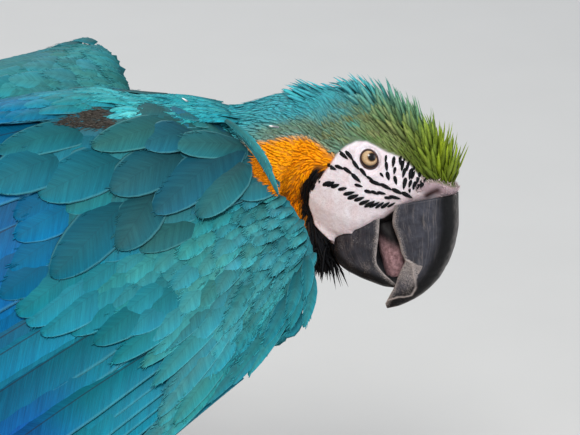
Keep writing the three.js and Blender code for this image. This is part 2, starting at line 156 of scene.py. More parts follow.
NOSTRIL = np.array([(34.4, -9.2), (36.4, -6.4), (38.3, -4.2)])

# ------------------------------------------------------------------ colours
TEAL, TEAL_PALE = rgb("1f8e9b"), rgb("55b9bd")
COVERT, COVERT_PALE, COVERT_GREEN = rgb("237f8b"), rgb("40949b"), rgb("3c8a80")
SCAPULAR, SCAPULAR_DEEP = rgb("26686b"), rgb("185c72")
GREATER, FLIGHT, BLUE, VIOLET = rgb("107e92"), rgb("00758b"), rgb("00618c"), rgb("0454a4")
NAPE, CROWN = rgb("3c98a3"), rgb("4f9a72")
GREY_OLIVE, OLIVE, LIME = rgb("747c52"), rgb("66782f"), rgb("82961c")
ORANGE, ORANGE_DEEP, GOLD, GOLD_PALE = rgb("fa9c0a"), rgb("d97f06"), rgb("e9a013"), rgb("f2bb35")
BLACK, DOWN = rgb("17181b"), rgb("48443f")
BARE, BARE_PINK, CERE, LID_BROWN = rgb("efeaf0"), rgb("e4cfd2"), rgb("a8949a"), rgb("3d2a26")
FOOT = rgb("3a3a3d")


def plumage(points):
    """Colour of the feathers over the head, neck, trunk and thighs, and of the skin below them."""
    local = to_head(points)
    x, _, z = points.T
    hx, _, hz = local.T
    wobble = 4 * noise(points, 24, 1)

    # the trunk: turquoise above, golden below, parted along the flank under the wing
    belly = smooth(-(z - 104) + 0.05 * x + wobble, -8, 8)
    colour = mix(mix(TEAL, TEAL_PALE, 0.35 + 0.3 * noise(points, 18, 2)), GOLD, belly)

    # the neck's sides: golden orange from the breast up to a soft edge that rises to the cheek
    upper = mix(NAPE, TEAL, smooth(-hx, 60, 90))
    top = along(np.array([-22.5, -22, -19.5, -13.5, -8.5, -8.5, -9.5]), np.clip((hx + 70) / 8, 0, 6))
    orange = smooth(top - hz + 0.6 * wobble, -3, 3) * smooth(-hx, 12, 18)
    warm = mix(ORANGE, ORANGE_DEEP, smooth(-hz, 24, 50) * 0.4)
    neck = mix(upper, warm, orange)
    on_neck = smooth(x, 46, 58)
    colour = mix(colour, neck, on_neck * smooth(z, 40, 66))

    # the crown: blue-green at the nape, olive on the brow, lime at the forehead's tips
    high = smooth(hz, 14, 28) * smooth(30 - hx, 0, 18)
    brow = smooth(hx + 0.1 * hz + wobble, -20, 12) * (1 - 0.65 * high)
    edge = face_distance(local)
    cap = mix(NAPE, CROWN, smooth(hx + 0.35 * wobble, -30, 4) * (1 - 0.75 * high))
    cap = mix(cap, OLIVE, brow)
    cap = mix(cap, LIME, smooth(hx + 0.6 * hz, 24, 42) * (0.55 + 0.4 * noise(points, 7, 5)))
    grey = np.exp(-(((edge - 8) / 12) ** 2)) * smooth(hz, -12, 0) * smooth(24 - hx, 0, 22)
    cap = mix(cap, GREY_OLIVE, np.clip(grey * (0.75 + 0.4 * noise(points, 6, 10)), 0, 1))
    above_orange = smooth(hz - top, -2, 3)
    on_head = smooth(hx, -44, -30) * above_orange
    colour = mix(colour, cap, on_head)
    border = np.exp(-(((hz - top - 4 + wobble) / 7) ** 2)) * smooth(hx, -68, -50) * smooth(-10 - hx, 0, 14)
    colour = mix(colour, GREY_OLIVE, 0.7 * border * above_orange)

    # the brow is painted darker towards the bare face, partly its own darker olive and partly painted shade; a
    # black band runs from behind the cheek down and round the chin
    colour = colour * (1 - 0.38 * smooth(9 - edge, 0, 8) * smooth(hx, 4, 22))[:, None]
    band = smooth(7 + 1.5 * noise(points, 7, 13) - edge, 0, 2) * smooth(-16 - hz, 0, 6) * smooth(6 - hx, 0, 5)
    beard = smooth(-hz, 50, 57) * smooth(hx, -26, -14)
    speckle = (noise(points, 5, 3) > 0.5) * smooth(-hz, 26, 44) * smooth(-hx, 16, 22) * smooth(44 + hx, 0, 12)
    colour = mix(colour, BLACK, np.clip(np.maximum(band, beard) + 0.65 * speckle * on_neck, 0, 1))
    return np.clip(colour, 0, 1)


def wing_cover(points, normals):
    """Colour of the small feathers on a wing's skin: teal above and over the front edge, golden below."""
    zero = np.zeros(len(points))
    up = np.column_stack([zero, 0.4 * np.sign(points[:, 1]), zero + 0.9])
    above = (normals * up).sum(1)
    gold = mix(GOLD, GOLD_PALE, np.clip(0.4 + 0.4 * noise(points, 20, 9), 0, 1))
    rim = np.min([near_line(points, line) for line in FRONT_EDGES], axis=0) < 17
    return mix(gold, COVERT, np.maximum(smooth(above, -0.5, -0.2), rim))


def skin_colour(points, bare):
    """The skin's colour: white and pink where the face is bare, elsewhere the plumage's, darkened as painted
    shade under the feathers.
    """
    local = to_head(points)
    hx, _, hz = local.T
    pink = np.clip(0.15 + 0.25 * noise(points, 9, 4) + 0.6 * smooth(hx - 0.5 * hz, 22, 36), 0, 1)
    cere = smooth(face_distance(local) + 7.5, 0, 3) * smooth(hx - 0.4 * hz, 26, 34)
    # painted shade: under the feathers the skin takes the plumage's colour at 0.8 of its brightness
    colour = mix(plumage(points) * 0.8, mix(mix(BARE, BARE_PINK, pink), CERE, cere), bare)
    nostril = np.exp(-((near_line(local[:, [0, 2]], NOSTRIL) / 1.9) ** 2)) * (np.abs(local[:, 1]) > 6)
    colour = mix(colour, rgb("3a2222"), nostril * bare)
    # painted shade: the skin inside the gape, behind the gap between the bill's halves, is painted near-black
    mouth_shade = smooth(15 - np.abs(local[:, 1]), 0, 2) * smooth(hx, 8, 14) * smooth(-hz, 20, 25)
    colour = mix(colour, rgb("120d0e"), mouth_shade)
    lid = lid_radius(local)
    return mix(colour, LID_BROWN, smooth(1.33 - lid, 0, 0.1) * (np.abs(local[:, 1]) > 12) * bare)


def lid_radius(local):
    """Distance from the eye's axis, where the rim of the lids is 1."""
    tilt = math.radians(LID["tilt"])
    q = local[:, [0, 2]] - LID["at"]
    a = q @ (math.cos(tilt), math.sin(tilt)) / LID["long"]
    b = q @ (-math.sin(tilt), math.cos(tilt)) / LID["short"]
    return np.sqrt(a * a + b * b)


# ------------------------------------------------------------------ materials
class Paint:
    """A material in the making: node adds a shader node, finish gives the material, the rest give sockets."""

    def __init__(self, name):
        self.made = bpy.data.materials.new(name)
        self.made.use_nodes = True
        self.link = self.made.node_tree.links.new
        self.shader = self.made.node_tree.nodes["Principled BSDF"]

    def node(self, kind, at=None, **values):
        """A node with those inputs and settings, whose Vector is the socket at."""
        added = self.made.node_tree.nodes.new("ShaderNode" + kind)
        for key, value in values.items():
            if key in added.inputs:
                added.inputs[key].default_value = value
            else:
                setattr(added, key, value)
        if at is not None:
            self.link(at, added.inputs["Vector"])
        return added

    def attribute(self, name, output="Fac"):
        return self.node("Attribute", attribute_name=name).outputs[output]

    def places(self, size=(1, 1, 1)):
        """Object coordinates in millimetres, stretched by size."""
        place = self.node("TexCoord").outputs["Object"]
        return self.node("Mapping", place, Scale=[1000 * s for s in size]).outputs["Vector"]

    def map_places(self, name, size):
        """A UV map's coordinates, stretched by size."""
        place = self.node("UVMap", uv_map=name).outputs["UV"]
        return self.node("Mapping", place, Scale=size).outputs["Vector"]

    def noise(self, at, scale, detail, roughness=0.5, distortion=0.0):
        values = {"Scale": scale, "Detail": detail, "Roughness": roughness, "Distortion": distortion}
        return self.node("TexNoise", at, **values).outputs["Fac"]

    def cells(self, at, scale):
        """Distance from the borders of small uneven cells."""
        return self.node("TexVoronoi", at, Scale=scale, feature="DISTANCE_TO_EDGE").outputs["Distance"]

    def times(self, source, factor, plus=None):
        """source * factor, and plus another socket where one is given."""
        added = self.node("Math", operation="MULTIPLY" if plus is None else "MULTIPLY_ADD")
        self.link(source, added.inputs[0])
        added.inputs[1].default_value = factor
        if plus is not None:
            self.link(plus, added.inputs[2])
        return added.outputs[0]

    def ramp(self, source, low, high, start=0.0, end=1.0):
        """Spreads source from low..high to start..end."""
        added = self.node("MapRange", **{"From Min": low, "From Max": high, "To Min": start, "To Max": end})
        self.link(source, added.inputs["Value"])
        return added.outputs["Result"]

    def blend(self, factor, a, b, mode="MIX"):
        """A colour mix whose factor, a and b are sockets or values."""
        added = self.node("Mix", data_type="RGBA", blend_type=mode)
        for socket, value in zip((added.inputs[0], added.inputs[6], added.inputs[7]), (factor, a, b)):
            if isinstance(value, bpy.types.NodeSocket):
                self.link(value, socket)
            else:
                socket.default_value = value if np.ndim(value) == 0 else (*value[:3], 1)
        return added.outputs[2]

    def finish(self, colour, height=None, strength=0.0, depth=0.0, **values):
        """The material, with bump from the socket height, depth in mm, and the shader's inputs by name."""
        self.link(colour, self.shader.inputs["Base Color"])
        for key, value in values.items():
            socket = self.shader.inputs[key.replace("_", " ")]
            if isinstance(value, bpy.types.NodeSocket):
                self.link(value, socket)
            else:
                socket.default_value = value
        if height is not None:
            bump = self.node("Bump", Strength=strength, Distance=depth / 1000)
            self.link(height, bump.inputs["Height"])
            self.link(bump.outputs["Normal"], self.shader.inputs["Normal"])
        return self.made


def feather_material(name, shaft, rim, barbs, roughness=0.55, deep=0.72):
    """Reads each feather's own tint; the vane map gives millimetres across and along it."""
    paint = Paint(name)
    tint = paint.node("Attribute", attribute_name="tint")
    split = paint.node("SeparateXYZ", paint.node("UVMap", uv_map="vane").outputs["UV"])
    across, lengthways = split.outputs["X"], split.outputs["Y"]
    out = paint.node("Math", operation="ABSOLUTE")
    paint.link(across, out.inputs[0])
    # barbs slant off the shaft: lines of equal along - 0.9 * across, shifted by each feather's own number
    where = paint.node("CombineXYZ")
    paint.link(paint.times(out.outputs[0], -0.9, lengthways), where.inputs["X"])
    paint.link(paint.times(tint.outputs["Alpha"], 37.0), where.inputs["Y"])
    paint.link(paint.times(across, 0.06), where.inputs["Z"])
    fine = paint.noise(where.outputs[0], 150.0 * barbs, 3.0, 0.65)
    wide = paint.noise(where.outputs[0], 22.0 * barbs, 2.0)
    colour = paint.blend(paint.ramp(fine, 0.3, 0.7), (deep, deep, deep), (1.22, 1.22, 1.22))
    colour = paint.blend(1.0, tint.outputs["Color"], colour, "MULTIPLY")
    soft = paint.blend(paint.ramp(wide, 0.35, 0.7), (0.86, 0.88, 0.9), (1.12, 1.1, 1.08))
    colour = paint.blend(1.0, colour, soft, "MULTIPLY")
    if rim:
        # greyer down the middle of a vane, purer towards its edge, and a pale rim
        edge = paint.attribute("edge")
        margin = paint.blend(paint.ramp(edge, 0.2, 0.95), (1.25, 0.95, 0.88), (0.75, 1.06, 1.12))
        colour = paint.blend(1.0, colour, margin, "MULTIPLY")
        colour = paint.blend(paint.times(paint.ramp(edge, 0.88, 1.0), rim), colour, rgb("79c2c4"))
    if shaft:
        thin = paint.ramp(out.outputs[0], 0.0045, 0.0018)
        colour = paint.blend(paint.times(thin, shaft), colour, (0.012, 0.022, 0.035))
    return paint.finish(colour, fine, 0.3, 0.3, Roughness=roughness, Specular_IOR_Level=0.08)


def skin_material():
    """Creases and pores on the bare face; scales with greyer grooves between them on the feet."""
    paint = Paint("bare_skin")
    at = paint.places()
    creases = paint.noise(at, 0.35, 4.0, 0.6, 1.2)
    tone = paint.blend(paint.ramp(creases, 0.3, 0.7), (0.84, 0.78, 0.78), (1.05, 1.04, 1.05))
    plain = paint.blend(1.0, paint.attribute("tint", "Color"), tone, "MULTIPLY")
    pored = paint.times(paint.ramp(paint.cells(at, 0.9), 0.0, 0.16), 0.35, creases)
    scales = paint.cells(at, 0.42)
    scaly = paint.attribute("scaly")
    grooves = paint.blend(paint.ramp(scales, 0.02, 0.2), (2.1, 2.0, 1.9), (0.8, 0.8, 0.82))
    colour = paint.blend(scaly, plain, paint.blend(1.0, plain, grooves, "MULTIPLY"))
    height = paint.node("Mix", data_type="FLOAT")
    for k, source in ((0, scaly), (2, pored), (3, paint.ramp(scales, 0.0, 0.22))):
        paint.link(source, height.inputs[k])
    return paint.finish(colour, height.outputs[0], 0.55, 0.6, Roughness=0.6, Specular_IOR_Level=0.25,
                        Subsurface_Weight=0.1, Subsurface_Scale=0.002)


def horn_material(name, colour, pale, roughness, flakes=0.5):
    """Keratin: growth lines along the piece, pale scratches and flaking where the worn attribute says so, and
    painted shade where the ridge attribute says so.
    """
    paint = Paint(name)
    at = paint.places()
    grain = paint.noise(at, 0.22, 6.0, 0.65, 0.6)
    scratches = paint.noise(at, 0.9, 5.0, 0.75, 2.4)
    mask = paint.times(paint.attribute("worn"), 0.34, scratches)
    growth = paint.noise(paint.map_places("horn", (55, 0.7, 1)), 1.0, 5.0, 0.75, 0.4)
    base = paint.blend(paint.ramp(grain, 0.35, 0.7), colour * 0.7, colour * 1.5)
    base = paint.blend(paint.times(paint.ramp(growth, 0.52, 0.72), 0.5), base, pale * 0.6)
    # painted shade: where the ridge attribute is 1 the horn is painted near-black
    base = paint.blend(paint.attribute("ridge"), base, colour * 0.06)
    base = paint.blend(paint.times(paint.ramp(mask, 0.64, 0.79), flakes), base, pale)
    base = paint.blend(paint.attribute("pale"), base, pale)
    rough = paint.ramp(grain, 0.0, 1.0, roughness - 0.08, roughness + 0.16)
    return paint.finish(base, mask, 0.35, 0.4, Roughness=rough, Specular_IOR_Level=0.16)


# ------------------------------------------------------------------ pieces
def add_object(name, mesh, nodes=(), made=None):
    piece = bpy.data.objects.new(name, mesh)
    bpy.context.collection.objects.link(piece)
    if made:
        mesh.materials.clear()
        mesh.materials.append(made)
    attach(piece, BODY)
    if nodes:
        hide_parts(*nodes)
    return piece


def mesh_from(name, points_mm, triangles):
    """A smooth mesh from arrays of points and triangles."""
    mesh = bpy.data.meshes.new(name)
    points, triangles = np.asarray(points_mm, float), np.asarray(triangles, np.int32)
    mesh.vertices.add(len(points))
    mesh.vertices.foreach_set("co", metres(points).astype(np.float32).ravel())
    mesh.loops.add(triangles.size)
    mesh.loops.foreach_set("vertex_index", triangles.ravel())
    mesh.polygons.add(len(triangles))
    mesh.polygons.foreach_set("loop_start", np.arange(0, triangles.size, 3, dtype=np.int32))
    mesh.polygons.foreach_set("use_smooth", np.ones(len(triangles), bool))
    mesh.update(calc_edges=True)
    return mesh


def put(mesh, name, values):
    """A per-vertex attribute: one number or a colour with a fourth value."""
    kind, key = ("FLOAT", "value") if np.ndim(values) == 1 else ("FLOAT_COLOR", "color")
    layer = mesh.attributes.new(name, kind, "POINT")
    layer.data.foreach_set(key, np.asarray(values, np.float32).ravel())


def put_map(mesh, name, per_vertex, shift=0.0):
    """A UV map from each vertex's place, moved sideways by shift at each corner."""
    corner = np.empty(len(mesh.loops), np.int32)
    mesh.loops.foreach_get("vertex_index", corner)
    places = np.asarray(per_vertex, np.float32)[corner]
    places[:, 0] += shift
    layer = mesh.uv_layers.new(name=name)
    layer.data.foreach_set("uv", places.ravel())


def blade_faces(rows, columns, hollow):
    """Triangles of one closed blade, and how many points it has.

    Rows of columns lie on top, then comes the tip, then the inner points below unless hollow is False.
    """
    top = np.arange(rows * columns).reshape(rows, columns)
    tip = rows * columns
    inner = columns - 2 if hollow else 0
    low = np.empty((rows, inner + 2), int)
    low[:, 0], low[:, -1] = top[:, 0], top[:, -1]
    low[:, 1:-1] = tip + 1 + np.arange(rows * inner).reshape(rows, inner)
    faces = []

    def sheet(grid, flip):
        for i in range(grid.shape[0] - 1):
            for j in range(grid.shape[1] - 1):
                a, b, c, d = grid[i, j], grid[i, j + 1], grid[i + 1, j + 1], grid[i + 1, j]
                faces.extend([(a, b, c), (a, c, d)] if not flip else [(a, c, b), (a, d, c)])
        for j in range(grid.shape[1] - 1):
            a, b = grid[-1, j], grid[-1, j + 1]
            faces.append((a, b, tip) if not flip else (a, tip, b))

    sheet(top, True)
    sheet(low, False)
    ring = [*top[0], *low[0, 1:-1][::-1]]
    faces.extend((ring[0], ring[k], ring[k + 1]) for k in range(1, len(ring) - 1))
    return np.array(faces), rows * columns + 1 + rows * inner


# On the bake map: half the width and the length of a small feather's patch, and where the upper side of a big
# one's vane lies in its own cell
PATCH_HALF, PATCH_LONG = 0.0013, 0.0028
CELL = {"middle": 0.25, "half": 0.21, "start": 0.06, "long": 0.88}


def blades(name, centre, normal, half, tint, roots_uv, made, *, columns=3, thick=0.3, camber=0.2,
           roll=0.0, below=None, nodes=(), darker=0.0):
    """Many closed feathers in one mesh.

    centre and normal: (feathers, rows + 1, 3), the last row being the tip. half: (feathers, rows), the half
    widths. tint: (feathers, rows + 1, 3), the colours down the middle. roots_uv: where each root lies on the
    skin's unwrap, or None to give each feather a cell. below: the colour underneath, or None for the same.
    roll lifts one edge over its neighbour by that many mm; darker dims the other edge, painted shade where it
    lies under that neighbour.
    """
    count, rows = centre.shape[0], centre.shape[1] - 1
    hollow = columns > 3
    faces, per = blade_faces(rows, columns, hollow)
    way = unit(np.gradient(centre, axis=1))
    side = unit(np.cross(normal, way))
    u = np.sin(np.linspace(-math.pi / 2, math.pi / 2, columns))
    height = camber * (1 - u * u)[None, None, :] * half[:, :, None] + thick * (1 - 0.7 * u * u)
    height = height + np.broadcast_to(roll, (count,))[:, None, None] * u
    top = (
        centre[:, :rows, None]
        + side[:, :rows, None] * (half[:, :, None] * u)[..., None]
        + normal[:, :rows, None] * height[..., None]
    )
    parts = [top.reshape(count, -1, 3), centre[:, rows:]]
    steps = np.linalg.norm(np.diff(centre, axis=1), axis=-1)
    along_mm = np.concatenate([np.zeros((count, 1)), steps.cumsum(1)], 1)
    across_mm = half[:, :, None] * u
    flat_across = [across_mm.reshape(count, -1), np.zeros((count, 1))]
    flat_along = [np.repeat(along_mm[:, :rows], columns, 1), along_mm[:, rows:]]
    rim = np.maximum(np.abs(u)[None, :], smooth(np.linspace(0, 1, rows + 1)[:rows], 0.9, 1.0)[:, None])
    flat_rim = [np.broadcast_to(rim.ravel(), (count, rows * columns)), np.ones((count, 1))]
    flat_u = [np.broadcast_to(np.tile(u, rows), (count, rows * columns)), np.zeros((count, 1))]
    # painted shade on the edge that lies under the next feather, as deep as darker says
    tucked_edge_shade = 1 - np.broadcast_to(darker, (count,))[:, None, None] * 0.5 * (1 - flat_u[0][..., None])
    shade = [np.repeat(tint[:, :rows], columns, 1) * tucked_edge_shade, tint[:, rows:]]
    if hollow:
        under = top[:, :, 1:-1] - normal[:, :rows, None] * (thick * (1.6 - 0.9 * u * u))[1:-1, None]
        parts.append(under.reshape(count, -1, 3))
        inner = columns - 2
        flat_across.append(across_mm[:, :, 1:-1].reshape(count, -1))
        flat_along.append(np.repeat(along_mm[:, :rows], inner, 1))
        flat_rim.append(np.broadcast_to(rim[:, 1:-1].ravel() * (below is None), (count, rows * inner)))
        under_tint = tint[:, :rows] if below is None else np.broadcast_to(below, (count, rows, 3))
        shade.append(np.repeat(under_tint, inner, 1))
        flat_u.append(np.broadcast_to(np.tile(u[1:-1], rows), (count, rows * inner)))
    points = np.concatenate(parts, 1).reshape(-1, 3)
    triangles = (faces[None] + (np.arange(count) * per)[:, None, None]).reshape(-1, 3)
    mesh = mesh_from(name, points, triangles)
    across, lengthways = np.concatenate(flat_across, 1), np.concatenate(flat_along, 1)
    seed = np.repeat(rng.random(count), per)
    put(mesh, "tint", np.column_stack([np.concatenate(shade, 1).reshape(-1, 3), seed]))
    put(mesh, "edge", np.concatenate(flat_rim, 1).ravel())
    put_map(mesh, "vane", np.stack([across, lengthways], -1).reshape(-1, 2) / 100)
    share = lengthways / lengthways.max(1, keepdims=True)
    flat, shift = np.concatenate(flat_u, 1), 0.0
    if roots_uv is None:
        # a cell each: the upper side in its left half, the underside in its right one
        grid = math.ceil(math.sqrt(count))
        cell = np.stack([np.arange(count) % grid, np.arange(count) // grid], -1)[:, None]
        upper = np.stack([CELL["middle"] + CELL["half"] * flat, CELL["start"] + CELL["long"] * share], -1)
        patch = (cell + upper) / grid
        beneath = np.arange(len(faces)) >= (2 * rows - 1) * (columns - 1)
        shift = np.repeat(np.tile(beneath, count), 3) * 0.5 / grid
    else:
        patch = np.stack([flat * PATCH_HALF, (share - 0.5) * PATCH_LONG], -1) + roots_uv[:, None]
    put_map(mesh, "OFBake", patch.reshape(-1, 2), shift)
    add_object(name, mesh, nodes, made)


# ------------------------------------------------------------------ the skin
FLESH = ["head", "neck", "trunk", "tail_base", "wing_right_coverts", "wing_left_coverts"]
FLESH += [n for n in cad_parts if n.startswith(("thigh", "tarsus", "toe"))]
VOXEL = 1.8  # mm
COAT = {"body": 2.4, "head": 2.8}  # depth of the feathers over the skin


def distances(names, points):
    """How far each point is from the nearest of these CAD nodes, in mm."""
    corners, faces = [], []
    for name in names:
        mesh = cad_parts[name].data
        shift = len(corners)
        corners.extend(millimetres([v.co for v in mesh.vertices]).tolist())
        faces.extend([[shift + i for i in p.vertices] for p in mesh.polygons])
    tree = BVHTree.FromPolygons(corners, faces)
    return np.array([tree.find_nearest(Vector(p))[3] for p in points])


def on_wing(points):
    """1 where the skin belongs to a wing rather than to the body."""
    wings = [name for name in FLESH if name.startswith("wing")]
    body = [name for name in FLESH if not name.startswith("wing")]
    return (distances(wings, points) < distances(body, points)) * 1.0


def bareness(points):
    local = to_head(points)
    near = (np.abs(local[:, 1]) < 34) & (local[:, 0] > -30)
    return smooth(-face_distance(local), -1.2, 0.6) * near


def relax(bm_points, edges, times, factor=0.5, keep=None):
    """Laplacian smoothing of points along edges."""
    count = np.bincount(edges.ravel(), minlength=len(bm_points))[:, None]
    for _ in range(times):
        total = np.zeros_like(bm_points)
        np.add.at(total, edges[:, 0], bm_points[edges[:, 1]])
        np.add.at(total, edges[:, 1], bm_points[edges[:, 0]])
        moved = factor * (total / count - bm_points)
        bm_points = bm_points + (moved if keep is None else moved * keep[:, None])
    return bm_points


def build_skin():
    bm = bmesh.new()
    for name in [*FLESH, "eye_right", "eye_left"]:
        bm.from_mesh(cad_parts[name].data)
    rough = bpy.data.meshes.new("flesh")
    bm.to_mesh(rough)
    bm.free()
    whole = bpy.data.objects.new("flesh", rough)
    bpy.context.collection.objects.link(whole)
    remesh = whole.modifiers.new("whole", "REMESH")
    remesh.mode, remesh.voxel_size = "VOXEL", VOXEL / 1000
    one = bpy.data.meshes.new_from_object(whole.evaluated_get(bpy.context.evaluated_depsgraph_get()))
    bpy.data.objects.remove(whole)

    bm = bmesh.new()
    bm.from_mesh(one)
    for round_eyes in (False, True):  # the bare face is made finer once, and round the eyes once more
        middles = millimetres([f.calc_center_median() for f in bm.faces])
        local = to_head(middles)
        if round_eyes:
            fine = (lid_radius(local) < 2.3) & (np.abs(local[:, 1]) > 12) & (np.abs(local[:, 1]) < 34)
        else:
            fine = (bareness(middles) > 0.02) & (local[:, 2] > -75)
        chosen = {e for f, yes in zip(bm.faces, fine) if yes for e in f.edges}
        bmesh.ops.subdivide_edges(bm, edges=list(chosen), cuts=1, use_grid_fill=True)
    bmesh.ops.triangulate(bm, faces=bm.faces)
    mesh = bpy.data.meshes.new("skin")
    bm.to_mesh(mesh)
    bm.free()

    points = np.empty(len(mesh.vertices) * 3)
    mesh.vertices.foreach_get("co", points)
    points = millimetres(points.reshape(-1, 3))
    edges = np.empty(len(mesh.edges) * 2, int)
    mesh.edges.foreach_get("vertices", edges)
    points = relax(points, edges.reshape(-1, 2), 5)
    nape = to_head(points)[:, 0]  # where head and neck meet, smoothed until no crease is left
    nape = smooth(nape, -78, -62) * smooth(-20 - nape, 0, 12) * smooth(points[:, 2], 80, 95)
    points = relax(points, edges.reshape(-1, 2), 40, keep=nape)
    mesh.vertices.foreach_set("co", metres(points).astype(np.float32).ravel())
    mesh.update()
    normal = np.empty(len(points) * 3, np.float32)
    mesh.vertex_normals.foreach_get("vector", normal)
    normal = normal.reshape(-1, 3)

    local = to_head(points)
    bare = bareness(points)
    wing = on_wing(points)
    legs = smooth(24 - points[:, 2], -6, 4) * (1 - wing)
    depth = COAT["body"] + (COAT["head"] - COAT["body"]) * smooth(local[:, 0], -60, -30)
    points = points - normal * (depth * (1 - bare) * (1 - legs) - 0.3 * bare)[:, None]
    points = raise_lids(points)
    mesh.vertices.foreach_set("co", metres(points).astype(np.float32).ravel())
    mesh.polygons.foreach_set("use_smooth", np.ones(len(mesh.polygons), bool))
    mesh.update()
    # painted shade: the wings' skin under their feathers takes their small feathers' colour at 0.8 of its
    # brightness
    colour = mix(skin_colour(points, bare), wing_cover(points, normal) * 0.8, wing)
    colour = mix(colour, FOOT, legs)
    put(mesh, "scaly", legs)
    put(mesh, "tint", np.column_stack([colour, np.zeros(len(points))]))
    skin = add_object("skin", mesh, FLESH, skin_material())
    unwrap(skin)
    return skin


def raise_lids(points):
    """Sinks the skin behind each eyeball and lifts a rim of lids round it."""
    local = to_head(points)
    radius = lid_radius(local)
    flat = np.linalg.norm(local[:, [0, 2]] - EYE_AT[[0, 2]], axis=1)
    ball = EYE_AT[1] + np.sqrt(np.maximum(EYE_RADIUS**2 - flat**2, 0))
    for sign in (-1, 1):
        out = local[:, 1] * sign
        near = (out > 12) & (radius < 3.2)
        rim = ball + 0.15 + 0.75 * np.exp(-(((radius - 1.16) / 0.13) ** 2))
        sunk = ball - 1.6
        lid = sunk + (rim - sunk) * smooth(radius, 0.9, 1.05)
        puff = out + 0.9 * np.exp(-(((radius - 1.9) / 0.45) ** 2))
        puff = puff - 0.25 * np.exp(-(((radius - 1.45) / 0.14) ** 2))
        target = lid + (puff - lid) * smooth(radius, 1.16, 1.5)
        local[:, 1] = np.where(near, sign * target, local[:, 1])
    return from_head(local)


def unwrap(skin):
    bpy.context.view_layer.objects.active = skin
    skin.select_set(True)
    skin.data.uv_layers.new(name="OFBake")
    bpy.ops.object.mode_set(mode="EDIT")
    bpy.ops.mesh.select_all(action="SELECT")
    bpy.ops.uv.smart_project(angle_limit=math.radians(66), island_margin=0.001)
    bpy.ops.object.mode_set(mode="OBJECT")
    skin.select_set(False)


class Surface:
    """The skin as something to root feathers on."""

    def __init__(self, skin):
        mesh = skin.data
        points = np.empty(len(mesh.vertices) * 3)
        mesh.vertices.foreach_get("co", points)
        self.points = millimetres(points.reshape(-1, 3))
        self.faces = np.empty(len(mesh.polygons) * 3, int)
        mesh.loops.foreach_get("vertex_index", self.faces)
        self.faces = self.faces.reshape(-1, 3)
        normal = np.empty(len(self.points) * 3, np.float32)
        mesh.vertex_normals.foreach_get("vector", normal)
        self.normal = normal.reshape(-1, 3).astype(float)
        uv = np.empty(len(mesh.loops) * 2)
        mesh.uv_layers["OFBake"].data.foreach_get("uv", uv)
        self.uv = uv.reshape(-1, 3, 2).mean(1)
        self.tree = BVHTree.FromPolygons(self.points.tolist(), self.faces.tolist())
        a, b, c = (self.points[self.faces[:, k]] for k in range(3))
        self.area = np.linalg.norm(np.cross(b - a, c - a), axis=1) / 2

    def nearest(self, points):
        """Foot point, smooth normal and unwrap place of each point."""
        spots, faces = [], []
        for p in points:
            spot, _, face, _ = self.tree.find_nearest(Vector(p))
            spots.append(spot)
            faces.append(face)
        faces = np.array(faces)
        return np.array(spots), unit(self.normal[self.faces[faces]].mean(1)), self.uv[faces]

    def shoot(self, origins, way):
        """Where rays meet the skin, with its normal."""
        hits, faces = [], []
        for o in origins:
            spot, _, face, _ = self.tree.ray_cast(Vector(o), Vector(way))
            hits.append(spot if spot else o)
            faces.append(face or 0)
        faces = np.array(faces)
        return np.array(hits), unit(self.normal[self.faces[faces]].mean(1)), self.uv[faces]

    def scatter(self, spacing):
        """Roots no closer than spacing(points) mm, where that is over 0: points, normals and unwrap places."""
        a, b, c = (self.points[self.faces[:, k]] for k in range(3))
        gap = spacing((a + b + c) / 3)
        weight = np.where(gap > 0, self.area / np.maximum(gap, 0.1) ** 2, 0)
        tries = int(weight.sum() * 2.6)
        face = rng.choice(len(weight), size=tries, p=weight / weight.sum())
        s, t = rng.random((2, tries))
        s, t = np.where(s + t > 1, 1 - s, s), np.where(s + t > 1, 1 - t, t)
        p = a[face] + (b - a)[face] * s[:, None] + (c - a)[face] * t[:, None]
        room = gap[face]
        size = max(room.max(), 0.5)
        cells, keep = {}, []
        key = np.floor(p / size).astype(int)
        for i in range(tries):
            kx, ky, kz = key[i]
            near = [j for x in (kx - 1, kx, kx + 1) for y in (ky - 1, ky, ky + 1) for z in (kz - 1, kz, kz + 1)
                    for j in cells.get((x, y, z), ())]
            if near:
                apart = p[near] - p[i]
                if ((apart * apart).sum(1) < room[i] ** 2).any():
                    continue
            cells.setdefault((kx, ky, kz), []).append(i)
            keep.append(i)
        keep = np.array(keep)
        normal = unit(self.normal[self.faces[face[keep]]].mean(1))
        return p[keep], normal, self.uv[face[keep]]


# ------------------------------------------------------------------ the wings' surface, as in the part
FAN = [
    [(30, -10, 160), (-0.99, -0.03, 0.03), (132, 8, 0)],
    [(41, -24, 157), (-0.985, -0.05, -0.1), (170, 13, 0)],
    [(51, -48, 147), (-0.945, -0.04, -0.31), (225, 18, 0)],
    [(57, -77, 137), (-0.9, 0.07, -0.42), (285, 18, 0)],
    [(59, -105, 126), (-0.86, 0.1, -0.5), (330, 16, 0)],
    [(54, -125, 109), (-0.83, 0.09, -0.55), (362, 14, 0)],
    [(42, -134, 86), (-0.81, 0.07, -0.585), (388, 9, 0)],
]
CAMBER = 0.055
SHOULDER = np.array([45, -35, 120])
WINGS = {
    "right": {"mirror": 1, "lift": 0, "sweep": 0, "back": 0, "camber": 1},
    "left": {"mirror": -1, "lift": 35, "sweep": 8, "back": 28, "camber": 2},
}


def turn(points, about, axis, angle):
    """Points turned about an axis by an angle of their own each, in radians."""
    p = points - about
    c, s = np.cos(angle), np.sin(angle)
    i, j = [(1, 2), (2, 0), (0, 1)][axis]
    out = p.copy()
    out[..., i], out[..., j] = c * p[..., i] - s * p[..., j], s * p[..., i] + c * p[..., j]
    return out + about


